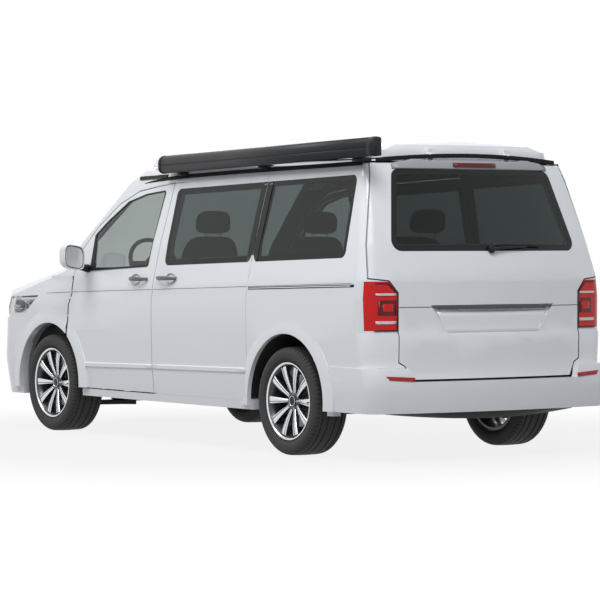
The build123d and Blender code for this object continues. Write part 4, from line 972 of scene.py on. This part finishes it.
def tailgate_details():
    """The glass's border, painted shade along the crease beside the grip, and the grip with its
    two small lamps.
    """
    shape = Shape()
    printed(shape, tail_point, *(subdivided(rounded(TAIL_GLASS, 0.06, inset, steps=8))
                                 for inset in (0.0, TAIL_BORDER)))
    shape.piece("tailgate_glass_border", "tailgate", (GLOSS_BLACK,), "dark_trim")
    # painted shade: a dark strip along the crease beside the grip
    line = Shape()
    for ends in ((-0.700, -0.462), (0.462, 0.700)):
        points = [tail_point(x, 0.947) for x in span(*ends, 5)]
        flat_strip(line, points, 0.0022, 0.0008, [Vector((0, 1, 0))] * len(points))
    line.piece("tailgate_crease_shade", "tailgate", (SHADE,), "dark_trim")
    slot = Shape()
    rows = []
    for x in span(-GRIP_HALF, GRIP_HALF, 16):
        half = 0.0030 + 0.0110 * (1 - (x / GRIP_HALF) ** 2) ** 0.5
        rows.append([tail_point(x, GRIP_Z + dz, proud) for dz, proud in
                     ((-half, -0.012), (-half, 0.0008), (0, 0.0015), (half, 0.0008),
                      (half, -0.012))])
    slot.tube(rows)
    for x in (-0.24, 0.24):
        face = tail_point(x, 0.935).y
        slot.block((x - 0.03, x + 0.03), (face - 0.013, face - 0.004), (0.925, 0.934), 1)
    slot.piece("tailgate_grip", "tailgate", (GRIP_GREY, LAMP_WHITE), "dark_plastic")


def plate_recess():
    """The leaning face inside the tailgate's recess, below the grip."""
    rows = []
    for share in span(0, 1, 4):
        z, half = 0.773 + 0.150 * share, 0.350 + 0.085 * share
        line = [tail_point(x, z, -0.0030 - 0.0100 * share) for x in span(-half, half, 24)]
        rows.append(line + [point - Vector((0, 0.001, 0)) for point in reversed(line)])
    Shape().tube(rows).piece("plate_recess", "tailgate", (PAINT,), "body")


# patches on a tail lamp's face: x and z ranges, finish and height
LAMP_PATCHES = (
    (0.722, 0.858, 1.020, 1.033, 0, 0.004), (0.722, 0.858, 0.846, 0.864, 0, 0.004),
    (0.722, 0.842, 0.900, 0.990, 1, 0.003), (0.742, 0.812, 0.922, 0.968, 3, 0.0045),
    (0.707, 0.866, 0.8005, 0.810, 2, 0.004), (0.707, 0.716, 0.812, 1.035, 2, 0.004),
    (0.772, 0.860, 1.0915, 1.0975, 2, 0.004))
LAMP_SLANT = (0.7115, 1.033, 0.060)     # the slanting rim's foot and how far it runs both ways


def lamp_details(side, word):
    """Dark rims, pale strips and a darker square element on a tail lamp's face."""
    shape = Shape()

    def bar(edges, proud, finish):
        rows = []
        for low, high in edges:
            row = [tail_point(*low, -0.004), tail_point(*low, proud),
                   tail_point(*high, proud), tail_point(*high, -0.004)]
            rows.append([Vector((side * point.x, point.y, point.z)) for point in row])
        shape.tube(rows, finish)

    for x0, x1, z0, z1, finish, proud in LAMP_PATCHES:
        bar([((x, z0), (x, z1)) for x in span(x0, x1, 6)], proud, finish)
    x0, z0, run = LAMP_SLANT
    bar([((x0 + d - 0.004, z0 + d + 0.004), (x0 + d + 0.004, z0 + d - 0.004))
         for d in span(0, run, 6)], 0.004, 2)
    shape.piece(f"tail_lamp_strips_{word}", "van",
                (LAMP_WHITE, LAMP_DARK_RED, LAMP_RIM, LAMP_RED), "lamp_red")


def bumper_details():
    """The rear bumper's reflectors and the dark valance below it."""
    shape = Shape()
    for side, _ in SIDES:
        stops = [(side * x, bowed_y(BUMPER_STATIONS, x, z)
                  - 0.020 * max(0, (x - 0.80) / 0.065) ** 2, z)
                 for x, z in evenly((0.640, 0.508), (0.865, 0.520), 10)]
        shape.swept(stops, ((-0.006, -0.014), (0.0035, -0.013), (0.0035, 0.011),
                            (-0.006, 0.013)))
    shape.piece("bumper_reflectors", "van", (REFLECTOR,), "lamp_red")
    rows = []
    for x in span(-0.700, 0.700, 20):
        y = bowed_y(BUMPER_STATIONS, x, 0.31)
        deep = 0.040 * (1 - (x / 0.72) ** 2)
        rows.append([(x, y + dy, z) for dy, z in
                     ((-0.20, 0.288 - deep), (-0.11, 0.290 - deep), (-0.070, 0.304 - deep * 0.5),
                      (-0.060, 0.312), (-0.080, 0.318), (-0.20, 0.318))])
    Shape().tube(rows).piece("lower_valance", "van", (TRIM,), "dark_plastic")


# ---------------------------------------------------------------- roof details
AWNING_Y = (-0.175, 2.300)
AWNING_FOOT = 1.800
AWNING_TILT = 0.026
AWNING_X = 0.800
AWNING_MIDDLE = (0.044, 0.063)
AWNING_SECTION = (
    (0.002, 0.006), (0.050, 0.001), (0.072, 0.008), (0.083, 0.022), (0.0868, 0.040),
    (0.0872, 0.052), (0.0845, 0.0545), (0.0845, 0.0575), (0.0875, 0.060), (0.0870, 0.078),
    (0.0830, 0.096), (0.0740, 0.111), (0.0600, 0.1205), (0.0420, 0.1252), (0.0200, 0.1240),
    (0.004, 0.118))


def awning():
    """The rolled awning's case: a long profile between two end caps, on three brackets."""
    shape = Shape()
    y0, y1 = AWNING_Y
    middle_x, middle_z = AWNING_MIDDLE

    def foot(y):
        return AWNING_FOOT + AWNING_TILT * (y - y0)

    def section(y, grow):
        return [(AWNING_X + middle_x + (x - middle_x) * grow, y,
                 foot(y) + middle_z + (z - middle_z) * grow) for x, z in AWNING_SECTION]

    shape.tube([section(y, 0.965) for y in (y0 + 0.030, (y0 + y1) / 2, y1 - 0.045)])
    for end, inward, shoulder, length in ((y0, 1, 0.016, 0.034), (y1, -1, 0.018, 0.055)):
        cap = ((0.002, 0.86), (0.008, 0.96), (shoulder, 0.995), (length, 0.995))
        shape.tube([section(end + inward * depth, grow) for depth, grow in cap[::inward]], 1)
    for y in (y0 + 0.200, 1.000, y1 - 0.250):
        shape.block((0.726, 0.830), (y - 0.030, y + 0.030), (foot(y) - 0.018, foot(y) + 0.010), 1)
    shape.piece("awning_case", "van", (AWNING, TRIM), "awning_case", ("awning",), smooth=30)


GUTTER = ((-0.470, 1.7435), (-0.400, 1.752), (-0.300, 1.7615), (-0.200, 1.770), (-0.050, 1.779),
          (0.100, 1.786), (0.600, 1.800), (1.100, 1.812), (1.600, 1.822), (2.050, 1.832))


def gutter(side, word):
    """The dark channel along a roof edge, which widens from its front tip."""
    rows = []
    for number, (y, z) in enumerate(GUTTER):
        half = 0.002 + min(0.012, 0.0032 * number)
        rows.append([side_point(side, y, z + dz, lift) for dz, lift in
                     ((-half, -0.004), (-half, 0.002), (0, 0.004), (half, 0.002),
                      (half, -0.004))])
    Shape().tube(rows).piece(f"roof_gutter_{word}", "van", (RUBBER,), "dark_trim")


# the lifting roof's outline: half width, front and rear, and how much each end is bowed
POP_HALF, POP_FRONT, POP_REAR = 0.702, -0.660, 2.090
POP_FRONT_BOW, POP_REAR_BOW = 0.130, 0.030
SEAL_FOOT = 1.800
TENT_FOOT, TENT_TOP = 1.868, 1.898
TENT_FOLDS = 12
FOLD_DEPTH = 0.0212


def pop_outline(inset):
    """The lifting roof's plan outline, (x, y), from its front left corner round."""
    half, front, rear = POP_HALF - inset, POP_FRONT + inset, POP_REAR - inset
    run = rear - front - 0.34
    across = span(half, -half, 24)
    along_side = [run * k / 24 for k in range(1, 24)]
    points = [(x, front + POP_FRONT_BOW * (x / half) ** 2
               + 2.5 * max(0, abs(x) / half - 0.8) ** 2) for x in across]
    points += [(-half, front + 0.23 + y) for y in along_side]
    points += [(x, rear - POP_REAR_BOW * (x / half) ** 2
                - 2.64 * max(0, abs(x) / half - 0.85) ** 2) for x in span(-half, half, 24)]
    return points + [(half, rear - 0.11 - y) for y in along_side]


def roof_seal():
    """The dark rubber bands between the roof and the lifting roof."""
    outer, inner = pop_outline(0.020), pop_outline(0.026)
    shape = Shape().ring([[(x, y, z) for x, y in loop] for loop, z in
                          ((outer, SEAL_FOOT), (outer, 1.868), (outer, 1.884), (inner, 1.884),
                           (inner, SEAL_FOOT))])
    shape.piece("roof_seal", "van", (RUBBER,), "dark_trim")
    shape = Shape().swept(
        [(x, 2.108 - 0.030 * (x / 0.70) ** 2, -0.034 * (x / 0.70) ** 2)
         for x in span(-0.700, 0.700, 24)],
        ((0.006, 1.872), (0.020, 1.874), (0.022, 1.886), (0.018, 1.899), (0.006, 1.899)))
    shape.piece("roof_rear_seal", "van", (RUBBER,), "dark_trim")


def canvas():
    """The lifting roof's tent, folded flat as it lies at rest."""
    loop = pop_outline(0.075)
    rows = []
    for number, z in enumerate(span(TENT_FOOT, TENT_TOP, 2 * TENT_FOLDS)):
        inset = 0.0 if number % 2 else FOLD_DEPTH
        rows.append([(x * (1 - inset / 0.7), 0.7 + (y - 0.7) * (1 - inset / 1.4), z)
                     for x, y in loop])
    shape = Shape().grid(rows, close_columns=True)
    return shape.piece("roof_tent", None, (CANVAS,), "seat_cloth", smooth=60)


# ---------------------------------------------------------------- seats
def cushion(shape, centre, half, square, lean=0.0, taper=0.0, rings=14, seam=0.0):
    """A stuffed block: a rounded box, narrower at the top by taper and leaning back by lean."""
    power = 2 / square
    rows = []
    for ring in range(rings + 1):
        polar = -pi / 2 + pi * ring / rings
        level = squared(sin(polar), power)
        wide = max(abs(cos(polar)) ** power, 0.004)
        scale = wide * (1 - taper * (level + 1) / 2)
        row = []
        for c, s in circle(36):
            x, y = squared(c, power), squared(s, power)
            groove = 1 - seam * (abs(abs(x) - 0.62) < 0.09) * wide
            row.append((centre[0] + half[0] * x * scale,
                        centre[1] + half[1] * y * wide * groove + lean * level,
                        centre[2] + half[2] * level))
        rows.append(row)
    shape.tube(rows)


def pads(name, centres, half, fill, **form):
    """The padded pieces of one kind on a row of seats."""
    shape = Shape()
    for centre in centres:
        cushion(shape, centre, half, **form)
    obj = shape.piece(name, "van", (SEAT,), "seat_cloth", smooth=60)


def seat_set(name, node, seats_at, heads, width, back_y):
    """Plinths, cushions, backs and headrests of one row of seats."""
    base = Shape()
    half = width / 2
    for x in seats_at:
        base.block((x - half + 0.04, x + half - 0.04), (back_y - 0.44, back_y - 0.02),
                   (0.502, 0.765))
        for edges in ((x - half + 0.005, x - half + 0.035), (x + half - 0.035, x + half - 0.005)):
            base.block(edges, (back_y - 0.36, back_y - 0.02), (0.70, 0.80))
    for x in heads:
        for dx in (-0.060, 0.060):
            base.tube([[(x + dx + 0.006 * c, back_y + 0.150 + (z - 1.36) * 0.12 + 0.006 * s, z)
                        for c, s in circle(10)] for z in (1.330, 1.430)], 1)
    base.piece(f"{name}_frame", "van", (TRIM, CHROME), "seat_cloth", (node,))
    pads(f"{name}_cushions", [(x, back_y - 0.265, 0.838) for x in seats_at],
         (half, 0.275, 0.068), 0.8, square=4.5)
    pads(f"{name}_backs", [(x, back_y + 0.085, 1.120) for x in seats_at],
         (half - 0.010, 0.062, 0.262), 0.8, square=4.2, lean=0.055, taper=0.16, rings=18,
         seam=0.06)
    pads(f"{name}_headrests", [(x, back_y + 0.158, 1.478) for x in heads],
         (0.138, 0.048, 0.078), 0.9, square=3.4, lean=0.008, taper=0.14)


# ---------------------------------------------------------------- nose details
def lamp_bowls(side, word):
    """The reflector bowls inside a headlamp."""
    shape = Shape()
    for x, y, radius in ((0.800, -2.190, 0.062), (0.640, -2.300, 0.058)):
        centre = Vector((side * x, y, 0.872))
        shape.grid([[centre + Vector((radius * share * c, dy, radius * share * s * 0.72))
                     for c, s in circle(32)]
                    for share, dy in ((1, -0.020), (0.92, -0.018), (0.7, 0.010), (0.35, 0.030),
                                      (0.02, 0.034))], close_columns=True)
    shape.piece(f"headlamp_bowls_{word}", "van", (SILVER,), "lamp_clear")


def both_sides(*builders):
    """Runs each builder for the left side and then for the right."""
    for build in builders:
        for side, word in SIDES:
            build(side, word)


both_sides(open_side, window_borders, pillar_cover, wing_panel, gutter)
seat_set("front_seat", "front_seats", seats_at=(-0.445, 0.445), heads=(-0.445, 0.445),
         width=0.500, back_y=-0.320)
seat_set("bench", "rear_bench", seats_at=(0.172,), heads=(-0.063, 0.407),
         width=0.930, back_y=1.440)
both_sides(mouldings, handles)
for side, word in SIDES:
    mirror(side, word)
    lamp_details(side, word)
spoiler()
wiper()
tailgate_details()
plate_recess()
bumper_details()
awning()
roof_seal()
tent = canvas()
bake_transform(tent)
both_sides(lamp_bowls)

# ---------------------------------------------------------------- stage, light and camera
PICTURE = 600           # the photograph's width and height in pixels
FOCAL_PIXELS = 3021.66
AXIS = (302.716, 296.0)     # where the lens's axis meets the picture
FLOOR_GLOW = 0.86       # how much of the floor near the van is white whatever the light
GLOW_RISE = (2.2, 4.6)  # the distances from the middle between which it becomes all white
WORLD_LIGHT = 0.33


def camera():
    """The photograph's camera: far behind the van and to its left, at the belt's height."""
    data = bpy.data.cameras.new("camera")
    data.sensor_width = 36
    data.lens = 36 * FOCAL_PIXELS / PICTURE
    data.shift_x = -(AXIS[0] - PICTURE / 2) / PICTURE
    data.shift_y = (AXIS[1] - PICTURE / 2) / PICTURE
    data.clip_end = 200
    obj = linked("camera", data)
    yaw, pitch = radians(34.312), radians(-1.0987)
    ahead = Vector((-sin(yaw) * cos(pitch), -cos(yaw) * cos(pitch), sin(pitch)))
    obj.location = (11.563, 17.208, 1.370)
    obj.rotation_euler = ahead.to_track_quat("-Z", "Y").to_euler()
    bpy.context.scene.camera = obj


def lamp(name, place, target, size, power):
    """A soft box that is not seen through the glass."""
    data = bpy.data.lights.new(name, "AREA")
    data.shape = "RECTANGLE"
    data.size, data.size_y = size
    data.energy = power
    obj = linked(name, data)
    obj.location = place
    obj.rotation_euler = (Vector(target) - Vector(place)).to_track_quat("-Z", "Y").to_euler()
    obj.visible_transmission = False


def seen_rays(tree):
    """1 for what the camera sees, also by reflection or through glass."""
    rays = add_node(tree, "ShaderNodeLightPath")
    total = rays.outputs["Is Camera Ray"]
    for ray in ("Is Glossy Ray", "Is Transmission Ray"):
        either = add_node(tree, "ShaderNodeMath", operation="MAXIMUM")
        wire(tree, (total, either.inputs[0]), (rays.outputs[ray], either.inputs[1]))
        total = either.outputs[0]
    return total


def floor():
    """The ground: lit near the van, so that it takes a shadow, and plain white further out."""
    shape = Shape()
    rows = [[(r * c, r * s, -0.0005) for c, s in circle(64)]
            for r in (0.5, 2, 4, 7, 12, 20, 34, 60)]
    shape.grid(rows, close_columns=True)
    shape.add(rows[0], [tuple(range(64))])
    mesh = bpy.data.meshes.new("floor")
    mesh.from_pydata(shape.points, [], shape.faces)
    obj = linked("floor", mesh)
    material = bpy.data.materials.new("floor_white")
    material.use_nodes = True
    tree = material.node_tree
    tree.nodes.clear()
    diffuse = add_node(tree, "ShaderNodeBsdfDiffuse", {"Color": (0.30, 0.30, 0.31, 1)})
    glow = add_node(tree, "ShaderNodeEmission", {"Color": (1, 1, 1, 1), "Strength": 1.0})
    share = add_node(tree, "ShaderNodeMath", operation="MULTIPLY")
    place = add_node(tree, "ShaderNodeNewGeometry")
    far = add_node(tree, "ShaderNodeVectorMath", operation="LENGTH")
    edge = add_node(tree, "ShaderNodeMapRange", {"From Min": GLOW_RISE[0], "To Min": FLOOR_GLOW,
                                                 "From Max": GLOW_RISE[1], "To Max": 1.0},
                    interpolation_type="SMOOTHSTEP")
    wire(tree, (place.outputs["Position"], far.inputs[0]),
         (far.outputs["Value"], edge.inputs["Value"]), (edge.outputs["Result"], share.inputs[1]),
         (seen_rays(tree), share.inputs[0]))
    mixed(tree, share.outputs[0], diffuse, glow, add_node(tree, "ShaderNodeOutputMaterial"))
    mesh.materials.append(material)


def world():
    """A plain studio: dim light on the van, white wherever it is seen."""
    sky = bpy.data.worlds.new("studio")
    sky.use_nodes = True
    tree = sky.node_tree
    tree.nodes.clear()
    plain, white = (add_node(tree, "ShaderNodeBackground", {"Color": colour, "Strength": strength})
                    for colour, strength in (((0.93, 0.96, 1.0, 1), WORLD_LIGHT),
                                             ((1, 1, 1, 1), 1.0)))
    mixed(tree, seen_rays(tree), plain, white, add_node(tree, "ShaderNodeOutputWorld"))
    bpy.context.scene.world = sky


camera()
floor()
world()
lamp("key", (4.0, 7.6, 9.4), (0, 0.6, 0.8), (6, 4), 690)
lamp("front", (-7, -8, 7), (0, -0.5, 0.8), (6, 5), 220)
lamp("fill", (6.2, -2.0, 9.0), (0, -0.4, 0.9), (5, 5), 520)
bpy.context.scene.view_settings.view_transform = "Standard"
